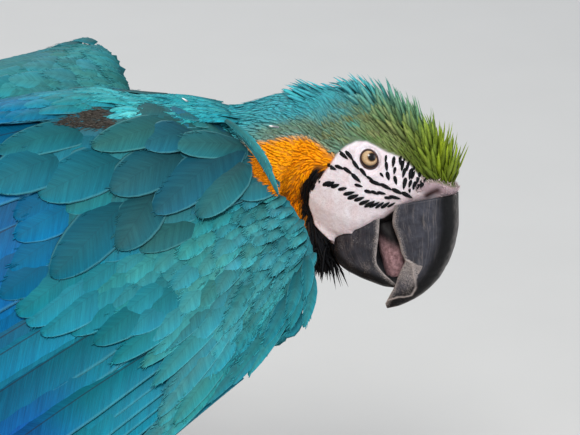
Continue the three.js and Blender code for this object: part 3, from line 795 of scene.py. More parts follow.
def wing_point(side, line, share):
    """A point on a wing.

    line counts from the body's 0 to the leading edge's 6, share from the feathers' bases to their tips.
    """
    wing = WINGS[side]
    line, share = np.broadcast_arrays(np.asarray(line, float), np.asarray(share, float))
    row = along(FAN, line)
    base, way, length = row[..., 0, :], unit(row[..., 1, :]), row[..., 2, 0]
    bend = 1 + (wing["camber"] - 1) * smooth(line, 0.4, 2.4)
    bulge = bend * CAMBER * length * 4 * share * (1 - share)
    p = base + way * (length * share)[..., None] + bulge[..., None] * np.array([0, -0.45, 0.9])
    p = turn(p, SHOULDER, 0, -math.radians(wing["lift"]) * smooth(line, 1.2, 4.4))
    p = turn(p, SHOULDER, 2, -math.radians(wing["sweep"]) * smooth(line, 0.2, 2.6))
    p[..., 0] -= wing["back"] * smooth(line, 0.2, 3)
    p[..., 1] *= wing["mirror"]
    return p


FRONT_EDGES = [wing_point(side, np.linspace(0, 6.3, 40), -0.01) for side in WINGS]


def wing_normal(side, line, share, step=0.02):
    """The wing's outward normal, up and away from the body."""
    chord = wing_point(side, line, share + step) - wing_point(side, line, share - step)
    span = wing_point(side, line + step, share) - wing_point(side, line - step, share)
    n = unit(np.cross(chord, span))
    return n * np.where(n[..., 2:3] < 0, -1, 1)


# ------------------------------------------------------------------ feathers over the skin
LANCE = {"t": np.array([0, 0.4, 0.78, 1]), "half": np.array([0.6, 1.0, 0.62]), "columns": 3}
OVATE = {
    "t": np.array([0, 0.25, 0.5, 0.74, 0.91, 1]),
    "half": np.array([0.55, 0.88, 1.0, 0.93, 0.6]),
    "columns": 5,
}
VANE = {
    "t": np.array([0, 0.15, 0.32, 0.5, 0.66, 0.79, 0.88, 0.945, 0.985, 1]),
    "half": np.array([0.5, 0.74, 0.92, 1.0, 0.97, 0.86, 0.68, 0.46, 0.22]),
    "columns": 9,
}
SLIM = np.array([0.5, 0.8, 1.0, 0.98, 0.86, 0.68, 0.5, 0.32, 0.15])  # half widths of a more pointed one


def varied(colour, t, light=0.09, hue=0.02, root=0.6, tip=1.1):
    """Each feather its own shade, darker at the root and lighter at the tip: (feathers, rows + 1, 3)."""
    count = len(colour)
    shade = (1 + light * rng.normal(size=(count, 1, 1))) * (1 + hue * rng.normal(size=(count, 1, 3)))
    fade = root + (tip - root) * smooth(t, 0, 0.8)
    return np.clip(colour[:, None] * np.clip(shade, 0.6, 1.5) * fade[:, None], 0, 1)


def flow(points):
    """The way the feathers lie: back from the bill over the head, then along the trunk, and down the thighs."""
    local = to_head(points)
    from_bill = unit(points - from_head([58.0, 0, -22]))
    trunk = np.array([-1.0, 0, -0.16])
    way = mix(from_bill, trunk, smooth(-local[:, 0], 30, 85))
    thigh = smooth(62 - points[:, 2], 0, 26) * smooth(46 - np.abs(points[:, 0] + 24), 0, 20)
    return unit(mix(way, np.array([-0.35, 0, -1.0]), thigh))


def lay(points, normals, way, length, t, rise, free):
    """Centre lines that follow the skin from each root, at heights rise (feathers, rows + 1) over it.

    Where free is 1 they leave the skin and run straight on.
    """
    tangent = unit(way - normals * (way * normals).sum(-1, keepdims=True))
    flat = points[:, None] + tangent[:, None] * (length[:, None] * t)[..., None]
    foot, up, _ = surface.nearest(flat.reshape(-1, 3))
    foot, up = foot.reshape(flat.shape), up.reshape(flat.shape)
    foot = foot + (flat - foot) * (free[:, None] * t)[..., None]
    return foot + up * rise[..., None], up


def add_coat(name, made, spacing, shape, length, width, lift, colour, *, way=flow, scatter=0.12,
             camber=0.25, thick=0.25, free=lambda points: np.zeros(len(points)), tones=None):
    """A coat of feathers rooted all over the skin where spacing is more than 0.

    length, width, lift, colour, way and free are functions of places on the coat.
    """
    roots, normals, patch = surface.scatter(spacing)
    lie = unit(way(roots) + scatter * rng.normal(size=roots.shape))
    long = length(roots) * rng.uniform(0.85, 1.15, len(roots))
    t = shape["t"]
    rise = -0.4 + (lift(roots) * rng.uniform(0.7, 1.3, len(roots)))[:, None] * t**1.2
    centre, up = lay(roots, normals, lie, long, t, rise, free(roots))
    half = width(roots)[:, None] / 2 * shape["half"]
    middle = centre[:, 1]
    tint = varied(colour(middle), t, **(tones or {}))
    blades(name, centre, up, half, tint, patch, made, columns=shape["columns"], camber=camber,
           thick=thick)


class Fringe:
    """Loose barbs that break up the outlines of broad feathers, gathered into one piece."""

    def __init__(self):
        self.sets = []

    def add(self, centre, up, half, tint, t, count, length=4.2):
        """count barbs for each feather, leaving its outer edge at a slant."""
        at = 1 - 0.62 * rng.random((len(centre), count)) ** 1.3
        low = np.clip(np.searchsorted(t, at) - 1, 0, len(t) - 2)
        part = ((at - t[low]) / (t[low + 1] - t[low]))[..., None]

        def pick(values):
            first = np.take_along_axis(values, low[..., None], 1)
            return first + (np.take_along_axis(values, low[..., None] + 1, 1) - first) * part

        way = unit(pick(unit(np.gradient(centre, axis=1))))
        normal = unit(pick(up))
        wide = pick(np.concatenate([half, 0 * half[:, :1]], 1)[..., None])
        out = unit(np.cross(normal, way)) * rng.choice([-1, 1], at.shape)[..., None]
        lean = np.radians(rng.uniform(8, 28, at.shape))[..., None]
        barb = unit(way * np.cos(lean) + out * np.sin(lean) + 0.05 * rng.normal(size=way.shape))
        long = length * rng.uniform(0.6, 1.25, at.shape)[..., None, None]
        start = pick(centre) + out * wide * 0.8 + normal * 0.45 - barb * long[..., 0] * 0.45
        line = start[:, :, None] + barb[:, :, None] * long * LANCE["t"][:, None]
        line = line + normal[:, :, None] * (0.1 + 0.5 * LANCE["t"] * rng.random(at.shape)[..., None])[..., None]
        # painted highlight: each loose barb is painted up to 1.45 times lighter than its feather
        shade = pick(tint) * rng.uniform(1.0, 1.45, at.shape)[..., None]
        rows = len(LANCE["t"])
        each = [np.repeat(values.reshape(-1, 1, 3), rows, 1) for values in (normal, shade)]
        self.sets.append((line.reshape(-1, rows, 3), *each))

    def finish(self, name, slot, made):
        line, normal, shade = (np.concatenate(part) for part in zip(*self.sets))
        half = rng.uniform(0.18, 0.4, (len(line), 1)) * LANCE["half"]
        patch = surface.nearest(line[:, 0])[2]
        blades(name, line, normal, half, np.clip(shade, 0, 1), patch, made, thick=0.1, camber=0.1)


def constant(value):
    return lambda points: np.full(len(points), float(value))


def tile(colour, like):
    """One colour for each entry."""
    return np.broadcast_to(colour, (len(like), 3))


# ------------------------------------------------------------------ feathers on the wings
def slant(line, share):
    """How far the coverts turn from the chord towards the leading edge, in degrees: most near the wrist."""
    angle = 5 + 25 * smooth(line, 1.4, 2.3) - 5 * smooth(line, 4, 5)
    return angle * (1 - 0.75 * smooth(share, 0.16, 0.4))


def wing_root(side, line, share, angle, length):
    """Where a feather of that length starts whose tip is at (line, share)."""
    h = 0.02
    a = (wing_point(side, line + h, share) - wing_point(side, line - h, share)) / (2 * h)
    b = (wing_point(side, line, share + h) - wing_point(side, line, share - h)) / (2 * h)
    b_long = np.linalg.norm(b, axis=-1)
    lean = (a * b).sum(-1) / b_long
    clear = np.sqrt(np.maximum((a * a).sum(-1) - lean**2, 1))
    turned = np.radians(angle)
    alpha = np.sin(turned) / clear
    beta = (np.cos(turned) - alpha * lean) / b_long
    return line - alpha * length, np.maximum(share - beta * length, 0.008 if side == "right" else 0.014)


def wing_lines(side, root, tip, t, rise):
    """Centre lines from root to tip, both (line, share), at heights rise over the wing's surface."""
    line = root[0][:, None] + (tip[0] - root[0])[:, None] * t
    share = root[1][:, None] + (tip[1] - root[1])[:, None] * t
    up = wing_normal(side, line, share)
    return wing_point(side, line, share) + up * np.broadcast_to(rise, line.shape)[..., None], up


def add_vanes(name, side, tips, length, width, angle, colour, made, *, rise, fringe, barbs=14, roll=0.7,
              pointed=0.5):
    """A set of broad feathers on one wing, by the (line, share) of their tips."""
    line, share = tips[:, 0], tips[:, 1]
    root = wing_root(side, line, share, angle, length)
    t = VANE["t"]
    jitter = rng.normal(size=(len(line), 1)) * 0.35
    height = rise[0] + (rise[1] - rise[0]) * smooth(t, 0, 0.75) + jitter
    centre, up = wing_lines(side, root, (line, share), t, height)
    half = np.broadcast_to(width, line.shape)[:, None] / 2 * (VANE["half"] + (SLIM - VANE["half"]) * pointed)
    half = half * (1 + 0.02 * rng.normal(size=half.shape))
    tint = varied(colour(line, share), t, light=0.12, hue=0.035)
    fringe.add(centre, up, half, tint, t, barbs)
    blades(name, centre, up, half, tint, surface.nearest(centre[:, 0])[2], made, columns=VANE["columns"],
           camber=0.12, thick=0.35, roll=roll * WINGS[side]["mirror"], darker=0.25)


# The covert rows lie between the leading edge and the tips of the greater coverts, as (line, share).
LEADING = np.array([(2.45, 0.045), (3.2, 0.038), (4.0, 0.035), (4.9, 0.035), (5.6, 0.06), (6.0, 0.1)])
GREATER_TIPS = np.array([(2.5, 0.62), (3.1, 0.56), (3.7, 0.46), (4.5, 0.36), (5.3, 0.27), (6.15, 0.26)])
# tips' place between those two, feathers in the row, length and width in mm, height of root and tip
COVERT_ROWS = [
    (0.97, 12, 74, 26, (-1.8, 2.4)),
    (0.86, 13, 62, 25, (-1.9, 2.0)),
    (0.78, 14, 50, 22, (-1.6, 2.4)),
    (0.64, 16, 38, 19, (-1.4, 2.2)),
    (0.52, 17, 32, 17, (-1.3, 1.9)),
    (0.42, 18, 27, 15, (-1.2, 1.7)),
    (0.33, 19, 23, 13.5, (-1.2, 1.5)),
    (0.25, 21, 20, 12, (-1.3, 1.3)),
    (0.17, 22, 17, 11, (-1.5, 1.1)),
    (0.10, 24, 15, 9.5, (-2.0, 0.9)),
    (0.04, 26, 13, 8, (-2.6, 0.7)),
]
# The long shoulder feathers seen one by one: root, tip and width
SCAPULARS = [
    ((1.86, 0.095), (2.36, 0.29), 27), ((1.56, 0.225), (1.72, 0.40), 27), ((1.34, 0.39), (1.44, 0.605), 28),
    ((2.30, 0.085), (2.86, 0.19), 22), ((2.10, 0.30), (2.66, 0.37), 25), ((2.00, 0.38), (2.50, 0.525), 27),
    ((1.02, 0.56), (1.12, 0.775), 28), ((0.92, 0.15), (1.04, 0.455), 22), ((1.18, 0.15), (1.22, 0.30), 22),
    ((1.64, 0.065), (1.36, 0.205), 20), ((0.54, 0.50), (0.62, 0.785), 20),
]
# Slender feathers that lie along the leading edge, by root, tip and width; the first two, over the neck's side,
# are the right wing's only
EDGE_FEATHERS = [
    ((0.9, -0.016), (2.5, 0.006), 4.5), ((1.2, -0.014), (3.08, 0.027), 4.5),
    ((4.5, 0.022), (5.3, 0.022), 6.5), ((4.9, 0.015), (5.98, 0.004), 6), ((4.7, 0.04), (5.5, 0.05), 7.5),
    ((4.9, 0.035), (5.8, 0.035), 6.5), ((5.2, 0.045), (6.24, 0.092), 7.5), ((5.0, 0.055), (5.8, 0.08), 8),
    ((5.3, 0.07), (6.1, 0.13), 8.5), ((5.5, 0.07), (6.2, 0.12), 7.5), ((5.6, 0.085), (6.2, 0.165), 8.5),
    ((5.7, 0.12), (6.22, 0.24), 9.5), ((5.85, 0.18), (6.24, 0.315), 9.5),
]


def covert_colour(line, share):
    places = np.column_stack([line * 9, share * 60, line * 0])
    colour = mix(COVERT, COVERT_PALE, np.clip(0.35 + 0.45 * noise(places, 14, 6), 0, 1))
    colour = mix(colour, COVERT_GREEN, np.clip(0.45 * noise(places, 11, 15), 0, 0.6))
    greater = np.clip(smooth(share, 0.25, 0.5) + 0.2 * noise(places, 9, 7), 0, 1)
    return mix(colour, GREATER, greater) * 0.86


def scapular_colour(line, share):
    tone = np.clip(0.4 + 0.5 * noise(np.column_stack([line * 12, share * 50, line * 0]), 12, 8), 0, 1)
    colour = mix(SCAPULAR, SCAPULAR_DEEP, tone)
    colour = mix(colour, FLIGHT, (0.45 + 0.4 * smooth(line, 1.7, 2.2)) * smooth(share, 0.33, 0.52))
    colour = mix(colour, BLUE, 0.95 * smooth(share, 0.53, 0.66) * smooth(line, 0.9, 1.6)) * 0.88
    return mix(colour, DOWN, 0.7 * np.exp(-(((line - 0.1) / 0.45) ** 2) - ((share - 0.5) / 0.1) ** 2))


def flight_colour(line, share):
    """Teal near the coverts and along the lower feathers, deep blue towards the tips and the back."""
    inner = smooth(2.6 - line, 0, 1.2) * smooth(share, 0.3, 0.45)
    middle = 1 - 0.6 * np.exp(-(((line - 3.4) / 0.5) ** 2)) * smooth(0.8 - share, 0, 0.15)
    deep = np.maximum(smooth(share, 0.44, 0.7), inner) * (0.4 + 0.6 * smooth(line, 0.8, 1.5)) * middle
    blue = mix(FLIGHT, BLUE, deep)
    outer = smooth(line, 3.6, 4.1) * (1 - 0.4 * smooth(line, 4.6, 5.2))
    return mix(blue, VIOLET, smooth(share, 0.42, 0.56) * (0.3 + 0.68 * outer) * middle)


def add_wing(side, vane, flight):
    fringe = Fringe()
    nodes_of = {part: f"wing_{side}_{part}" for part in ("tertials", "secondaries", "primaries")}
    spans = {"tertials": (0.12, 1.62, 6), "secondaries": (1.82, 3.94, 10), "primaries": (4.1, 5.9, 10)}
    t = np.concatenate([np.linspace(0, 0.86, 18), [0.9, 0.93, 0.955, 0.975, 0.99, 1]])
    out = WINGS[side]["mirror"]
    for part, (first, last, count) in spans.items():
        line = np.linspace(first, last, count)
        tip = 1 - 0.03 * rng.random(count)
        root = np.full(count, 0.12)
        sag = (0.5 - 0.9 * t) + rng.normal(size=(count, 1)) * 0.3 - 2.6 * (1 - smooth(t, 0.1, 0.36))
        centre, up = wing_lines(side, (line, root), (line, tip), t, sag)
        shape = np.minimum(1, 0.45 + 1.6 * t[:-1]) * np.sqrt(1 - np.clip((t[:-1] - 0.84) / 0.162, 0, 1) ** 2)
        half = {"tertials": 15, "secondaries": 16.5, "primaries": 14}[part] * shape * np.ones((count, 1))
        share = root[:, None] + (tip - root)[:, None] * t
        flat = flight_colour(np.repeat(line, len(t)), share.ravel()).reshape(count, len(t), 3)
        tint = flat * (1 + 0.1 * rng.normal(size=(count, 1, 1)))
        blades(f"{part}_{side}", centre, up, half, np.clip(tint, 0, 1), None, flight,
               columns=9, camber=0.06, thick=0.5, roll=1.3 * out, nodes=[nodes_of[part]], below=GOLD,
               darker=0.55)

    # shoulder feathers: a base layer row by row, then the ones seen singly
    shares = (0.66, 0.54, 0.42, 0.31, 0.21, 0.12) if side == "right" else (0.66, 0.54, 0.42, 0.31)
    base = [(l, s) for k, s in enumerate(shares) for l in
            np.arange(0.1, 2.9 if s < 0.6 else 2.4, 0.28) + (k % 2) * 0.14]
    base = np.array(base) + rng.normal(size=(len(base), 2)) * (0.05, 0.008)
    add_vanes(f"shoulder_feathers_{side}", side, base, 58.0, 24.0, 6.0, scapular_colour, vane,
              rise=(-1.6, 2.2) if side == "right" else (-2.8, 0.6), fringe=fringe)

    def one_by_one(name, table, colour, rise, longer, outline, barbs):
        roots, tips = (np.array([row[k] for row in table]) for k in (0, 1))
        wide = np.array([row[2] for row in table], float)
        order = np.argsort(-tips[:, 1])
        roots, tips, wide = (tips + (roots - tips) * longer)[order], tips[order], wide[order, None] / 2
        height = rise[0] + rise[1] * smooth(VANE["t"], 0, 0.6) + 0.16 * np.arange(len(order))[:, None]
        lines, outward = wing_lines(side, roots.T, tips.T, VANE["t"], height)
        shades = varied(colour(*tips.T), VANE["t"])
        fringe.add(lines, outward, wide * outline, shades, VANE["t"], barbs)
        blades(name, lines, outward, wide * outline, shades, surface.nearest(lines[:, 0])[2],
               vane, columns=9, camber=0.12, thick=0.4, roll=0.5 * out, darker=0.3)

    one_by_one(f"scapulars_{side}", SCAPULARS, lambda line, share: scapular_colour(line, share - 0.1),
               (1.0, 2.6), 1.3, (VANE["half"] + SLIM) / 2, 14)
    edge_feathers = EDGE_FEATHERS[0 if side == "right" else 2 :]
    one_by_one(f"edge_feathers_{side}", edge_feathers, covert_colour, (0.2, 1.6), 1.0, SLIM, 9)

    # covert rows from the greater ones up to the leading edge
    for k, (place, count, length, width, rise) in enumerate(COVERT_ROWS):
        at = np.linspace(0, 5, count) + (k % 2) * 2.5 / count
        tips = along(LEADING, at) + (along(GREATER_TIPS, at) - along(LEADING, at)) * place
        tips = tips + rng.normal(size=tips.shape) * (0.04, 0.006)
        slim = smooth(tips[:, 0], 3.8, 4.9)  # slimmer and longer over the hand
        long = length * (1.0 if side == "right" else 1.35) * rng.uniform(0.85, 1.15, count) * (1 + 0.35 * slim)
        wide = width * (1 - 0.4 * slim)
        add_vanes(f"coverts_{side}_{k}", side, tips, long, wide, slant(*tips.T), covert_colour,
                  vane, rise=rise, fringe=fringe, barbs=20 if k < 3 else 16, roll=0.7 if k < 3 else 0.3,
                  pointed=0.9 if side == "left" else 0.6)
    fringe.finish(f"covert_barbs_{side}", "wing_coverts", vane)


def mantle_point(across, share):
    """The feathered saddle between the wings: across is less than 0 towards the right wing."""
    across, share = np.broadcast_arrays(np.asarray(across, float), np.asarray(share, float))
    flat = 0.35  # between -flat and flat it bridges the wings' inner edges
    line = 0.2 + np.maximum(np.abs(across) - flat, 0) * 1.3
    t = np.clip((across + flat) / (2 * flat), 0, 1)[..., None]
    bridge = wing_point("right", line, share) * (1 - t) + wing_point("left", line, share) * t
    saddle = (8 + 16 * smooth(share, 0.2, 0.4)) * t[..., 0] * (1 - t[..., 0])
    return bridge + np.array([0, 0, 1.0]) * saddle[..., None]


# Where the mantle ends over the right wing: share, and across there
MANTLE_EDGE = (
    (0, 0.06, 0.1, 0.14, 0.24, 0.33, 0.4, 0.45),
    (-0.5, -0.75, -1.0, -0.9, -0.75, -0.6, -0.28, -0.2),
)


def add_mantle(made):
    """Rows of slim feathers from between the shoulders to the rump, over the wings' inner edges."""
    h, t = 0.02, VANE["t"]
    tips = []
    for k in range(32):
        share = 0.02 + 0.03 * k
        first = np.interp(share, *MANTLE_EDGE)
        last = 1.95 - 0.8 * smooth(share, 0.15, 0.35)
        step = 0.09 + 0.05 * smooth(share, 0.3, 0.6)
        tips += [(a + 0.5 * step * (k % 2), share) for a in np.arange(first, last, step)]
    tips = np.array(tips) + rng.normal(size=(len(tips), 2)) * (0.03, 0.008)
    length = (23 + 12 * smooth(tips[:, 1], 0, 0.8)) * rng.uniform(0.85, 1.2, len(tips))
    chord = mantle_point(tips[:, 0], tips[:, 1] + h) - mantle_point(tips[:, 0], tips[:, 1] - h)
    long = np.linalg.norm(chord, axis=1) / (2 * h)
    across = tips[:, :1] * (0.88 + 0.12 * t)
    share = tips[:, 1:] - (length / long)[:, None] * (1 - t)
    a = mantle_point(across + h, share) - mantle_point(across - h, share)
    b = mantle_point(across, share + h) - mantle_point(across, share - h)
    up = unit(np.cross(a, b))
    up = up * np.where(up[..., 2:] < 0, -1, 1)
    # close to the body in front of the lifted wing
    flat = smooth(across, 0.05, 0.35) * smooth(1.5 - across, 0, 0.4) * smooth(0.32 - share, 0, 0.12)
    jitter = rng.normal(size=(len(tips), 1)) * 0.3
    rise = 0.3 - 0.5 * flat + 2.4 * smooth(t, 0, 0.8) * (1 - 0.45 * flat) + jitter
    rise = rise + 1.5 * smooth(across, 0.2, 0.5) * smooth(share, 0.2, 0.32) + 1.2 * smooth(share, 0.2, 0.4)
    centre = mantle_point(across, share) + up * rise[..., None]
    half = (2.5 + 3.4 * smooth(tips[:, 1], 0.2, 0.7))[:, None] * SLIM
    places = np.column_stack([tips * (30, 80), tips[:, 0] * 0])
    pale = 0.1 + 0.3 * smooth(tips[:, 1], 0.08, 0.28) + 0.25 * noise(places, 16, 16)
    colour = mix(TEAL, TEAL_PALE, np.clip(pale, 0, 1))
    colour = mix(colour, COVERT, smooth(tips[:, 1], 0.36, 0.52))
    colour = mix(colour, BLUE, smooth(tips[:, 1], 0.55, 0.9))
    tint = varied(colour, t)
    fringe = Fringe()
    fringe.add(centre, up, half, tint, t, 8, 4.5)
    fringe.finish("mantle_barbs", "body_plumage", made)
    blades("mantle_feathers", centre, up, half, tint, surface.nearest(centre[:, 0])[2], made,
           columns=7, camber=0.2, thick=0.35, roll=0.3 * rng.normal(size=len(tips)))


def add_tuft_patch(name, made, corners, count, colour, low, high, reach):
    """Fine tufts over a triangle of the right wing, from low to high mm above it.

    corners are (line, share); reach is how far a tuft runs along the wing, as a share.
    """
    line, share = (rng.dirichlet((1, 1, 1), count) @ np.array(corners)).T
    t = LANCE["t"]
    tip = line + rng.normal(size=count) * 0.06, share + reach * rng.uniform(0.6, 1.4, count)
    centre, up = wing_lines("right", (line, share), tip, t, low + (high - low) * rng.random((count, 1)) * t)
    half = rng.uniform(0.22, 0.42, (count, 1)) * LANCE["half"]
    tint = varied(tile(colour, line), t, light=0.22, root=0.9)
    blades(name, centre, up, half, tint, surface.nearest(centre[:, 0])[2], made, thick=0.12, camber=0.1)


TAIL = {"root": np.array([-119, 0, 93.0]), "slope": 11, "length": 452}


def add_tail(made):
    """Twelve graduated feathers, the middle pair on top and longest."""
    slope = math.radians(TAIL["slope"])
    way = np.array([-math.cos(slope), 0, -math.sin(slope)])
    up = np.array([-math.sin(slope), 0, math.cos(slope)])
    rank = np.repeat(np.arange(6), 2)
    sign = np.tile([-1, 1], 6)
    order = np.argsort(-rank, kind="stable")
    rank, sign = rank[order], sign[order]
    t = np.concatenate([np.linspace(0, 0.9, 30), [0.93, 0.955, 0.975, 0.99, 1]])
    long = TAIL["length"] * (1 - 0.115 * rank)
    spread = sign * (3 + 3.4 * rank)
    centre = (
        TAIL["root"] + way * (long[:, None] * t)[..., None]
        + np.array([0, 1, 0]) * (spread[:, None] * (0.35 + 0.65 * smooth(t, 0, 0.4)))[..., None]
        + up * ((2.6 - 1.1 * rank[:, None] + 0.35 * sign[:, None]) * np.ones(len(t)))[..., None]
    )
    shape = np.minimum(1, 0.5 + 1.5 * t[:-1]) * (1 - 0.62 * t[:-1] ** 2.2)
    shape = shape * np.sqrt(1 - np.clip((t[:-1] - 0.9) / 0.102, 0, 1) ** 2)
    half = 16.5 * shape * np.ones((12, 1))
    tint = np.clip(mix(FLIGHT, BLUE, smooth(t, 0.1, 0.9)) * (1 + 0.08 * rng.normal(size=(12, 1, 1))), 0, 1)
    blades("tail_vanes", centre, np.broadcast_to(up, centre.shape), half, tint, None, made,
           columns=9, camber=0.1, thick=0.5, roll=0.5 * sign, nodes=["tail_feathers"], below=GOLD, darker=0.3)


# ------------------------------------------------------------------ bill, tongue and eyes
# Each half of the bill runs along its cutting edge and its outer ridge, as (x, z) on the head, with its half
# widths.
UPPER_BILL = {
    "edge": [(22, -21), (24.5, -29.7), (28.3, -34.2), (32.8, -38.7), (35.8, -42.8), (39.3, -46.5),
             (39.3, -51.5), (39.2, -57.5), (39.6, -63.3), (39.1, -69.6), (38.6, -75.5)],
    "ridge": [(47, -3), (51.7, -12.2), (55.1, -19.1), (57.7, -28.2), (58.9, -36), (58.9, -43), (58.1, -50.5),
              (55.1, -59.6), (50.7, -67.1), (46.0, -73.0), (40.6, -77.8)],
    "wide": [17.2, 17.0, 16.4, 15.4, 14.2, 12.8, 10.6, 8.4, 6.2, 4.0, 1.6],
}
LOWER_BILL = {
    "edge": [(16.5, -29), (21.1, -40.4), (23.3, -47.4), (26.2, -54.6), (31.5, -58.4), (37.6, -60.9),
             (40.3, -62.5)],
    "ridge": [(-5, -56), (1, -64.6), (8, -68.2), (17, -68.9), (26, -68.1), (33.5, -67.2), (40.0, -65.0)],
    "wide": [16.4, 16.0, 15.0, 13.4, 11.2, 8.4, 4.6],
}
# The pale lip of the worn sheath that overlaps the hook, as (x, z)
SHEATH = np.array([(32.8, -38.7), (35.8, -42.6), (37.9, -45.4), (43.1, -45.9), (45.2, -48.6), (46.7, -52.0),
                   (48.9, -55.0), (50.3, -58.2), (50.2, -61.2), (49.8, -63.5), (46.9, -66.2),
                   (43.9, -67.9), (39, -73)])


def closed_grid(rings):
    """Triangles that close a stack of rings of equal size, with the two end rings filled from their middles."""
    count, size = rings.shape[:2]
    points = np.concatenate([rings.reshape(-1, 3), rings[0].mean(0)[None], rings[-1].mean(0)[None]])
    i, j = np.meshgrid(np.arange(count - 1), np.arange(size), indexing="ij")
    a, b = i * size + j, i * size + (j + 1) % size
    c, d = b + size, a + size
    sides = np.concatenate([np.stack([a, b, c], -1).reshape(-1, 3), np.stack([a, c, d], -1).reshape(-1, 3)])
    j = np.arange(size)
    first = np.stack([np.full(size, count * size), (j + 1) % size, j], -1)
    end = (count - 1) * size
    last = np.stack([np.full(size, count * size + 1), end + j, end + (j + 1) % size], -1)
    return points, np.concatenate([sides, first, last])


def fixed_normals(points, triangles):
    """Turns every triangle over if the closed mesh is inside out."""
    a, b, c = (points[triangles[:, k]] for k in range(3))
    inside_out = (np.cross(a, b) * c).sum() < 0
    return triangles[:, ::-1] if inside_out else triangles


def half_bill(shape, steps=110, arc=72, hollow=0.35):
    """A horn shell on the head's own axes: round over the ridge, thin at the cutting edges, hollow between."""
    s = np.linspace(0, len(shape["wide"]) - 1, steps)
    edge, ridge = along(np.array(shape["edge"], float), s), along(np.array(shape["ridge"], float), s)
    wide = along(np.array(shape["wide"], float)[:, None], s)[:, 0]
    over = np.linspace(0, math.pi, arc)
    reach, out = np.sin(over) ** 0.85, np.sign(np.cos(over)) * np.abs(np.cos(over)) ** 0.72
    inner = np.linspace(math.pi, 0, arc // 2 + 2)[1:-1]
    reach = np.concatenate([reach, hollow * np.sin(inner) ** 0.6])
    out = np.concatenate([out, 0.86 * np.cos(inner)])
    place = edge[:, None] + (ridge - edge)[:, None] * reach[:, None]
    return np.stack([place[..., 0], wide[:, None] * out, place[..., 1]], -1)


def add_bill():
    horn = horn_material("bill_horn", rgb("383941"), rgb("b9aeaa"), 0.34, flakes=0.7)
    for name, shape in (("bill_upper", UPPER_BILL), ("bill_lower", LOWER_BILL)):
        rings = half_bill(shape)
        points, triangles = closed_grid(rings)
        triangles = fixed_normals(points, triangles)
        places = points[:, [0, 2]]
        edge = along(np.array(shape["edge"], float), np.linspace(0, len(shape["edge"]) - 1, 60))
        ridge = along(np.array(shape["ridge"], float), np.linspace(0, len(shape["ridge"]) - 1, 60))
        lip = near_line(places, edge)
        ragged = 0.5 + 0.5 * noise(points, 3.2, 11)
        pale = np.exp(-((lip / (0.3 + 0.35 * ragged)) ** 2)) * (0.25 + 0.7 * ragged)
        worn = 0.6 * smooth(4.5 - lip, 0, 4)
        rise = 0.25 * noise(points, 6, 12) * smooth(lip, 0, 2)
        if name == "bill_lower":
            worn = np.maximum(worn, 0.12 + 0.2 * noise(points, 11, 17))
        if name == "bill_upper":
            lip2 = near_line(places, SHEATH)
            sheath = (lip < 11) * (places[:, 1] < -45) * (places[:, 0] < 49)
            pale = np.maximum(pale, np.exp(-((lip2 / (0.28 + 0.25 * ragged)) ** 2)) * (places[:, 1] < -36))
            worn = np.maximum(worn, 0.75 * sheath * smooth(places[:, 1], -80, -46))
            rise = rise + 0.5 * np.exp(-((lip2 / 0.7) ** 2))
            pale = np.maximum(pale, 0.3 * np.exp(-((near_line(places, ridge) / 0.8) ** 2)) * ragged)
        outward = unit(points - points.mean(0)) * np.array([0.3, 1, 0.3])
        points = points + outward * np.clip(rise, -0.3, 0.6)[:, None]
        mesh = mesh_from(name, from_head(points), triangles)
        put(mesh, "worn", worn)
        put(mesh, "pale", pale * 0.8)
        # painted shade: a band along each half's outer ridge is painted near-black, and the lower half is
        # darkened all over as well
        dark = smooth(10 - near_line(places, ridge), 0, 5.5)
        put(mesh, "ridge", np.maximum(dark, 0.35 * (name == "bill_lower")))
        count, size = rings.shape[:2]
        around = np.concatenate([np.tile(np.linspace(0, 2, size), count), [0, 0]])
        lengthwise = np.concatenate([np.repeat(np.linspace(0, 5, count), size), [0, 5]])
        put_map(mesh, "horn", np.column_stack([around, lengthwise]))
        add_object(name + "_horn", mesh, [name], horn)


def tube(line, radii, size=20, squash=(1, 1)):
    """Rings round a line of points; squash stretches them across and up."""
    line = np.asarray(line, float)
    way = unit(np.gradient(line, axis=0))
    side = unit(np.cross(np.array([0.0, 0.02, 1.0]), way))
    up = np.cross(way, side)
    around = np.linspace(0, 2 * math.pi, size, endpoint=False)
    return line[:, None] + np.asarray(radii)[:, None, None] * (
        squash[0] * np.cos(around)[:, None] * side[:, None] + squash[1] * np.sin(around)[:, None] * up[:, None]
    )


def add_tongue():
    t = np.linspace(0, 4, 50)
    line = along(np.array([(8.0, 0, -34), (17, 0, -37), (26, 0, -42), (32, 0, -49.5), (36.5, 0, -59)]), t)
    radii = 9.5 * np.sqrt(np.clip(1 - ((t - 2.2) / 2.2) ** 2, 0.0, 1)) + 0.6
    rings = tube(line, radii, 28, (1.0, 0.82))
    points, triangles = closed_grid(rings)
    points[:, 2] += 0.35 * noise(points, 5, 14)
    paint = Paint("tongue_skin")
    grain = paint.noise(paint.places(), 0.5, 5.0, 0.65)
    fleshy = paint.blend(paint.ramp(grain, 0.35, 0.65), rgb("6d5053"), rgb("a8868a"))
    # painted shade: the back of the tongue, deep in the gape, is painted near-black
    colour = paint.blend(paint.attribute("deep"), fleshy, rgb("141113"))
    made = paint.finish(colour, grain, 0.5, 0.6, Roughness=0.5, Specular_IOR_Level=0.12)
    mesh = mesh_from("tongue", from_head(points), fixed_normals(points, triangles))
    # painted shade: the deep attribute marks the tongue's back, where it lies in the gape's shade
    put(mesh, "deep", smooth(points[:, 2], -47, -40))
    add_object("tongue_flesh", mesh, ["tongue"], made)


# New feathers still in their sheaths, on the back and on the neck: root and white tip
PINS = [((31.0, -4.0, 163.4), (26.0, -1.5, 167.2)), ((70.8, -28.0, 153.4), (65.8, -26.3, 154.4))]


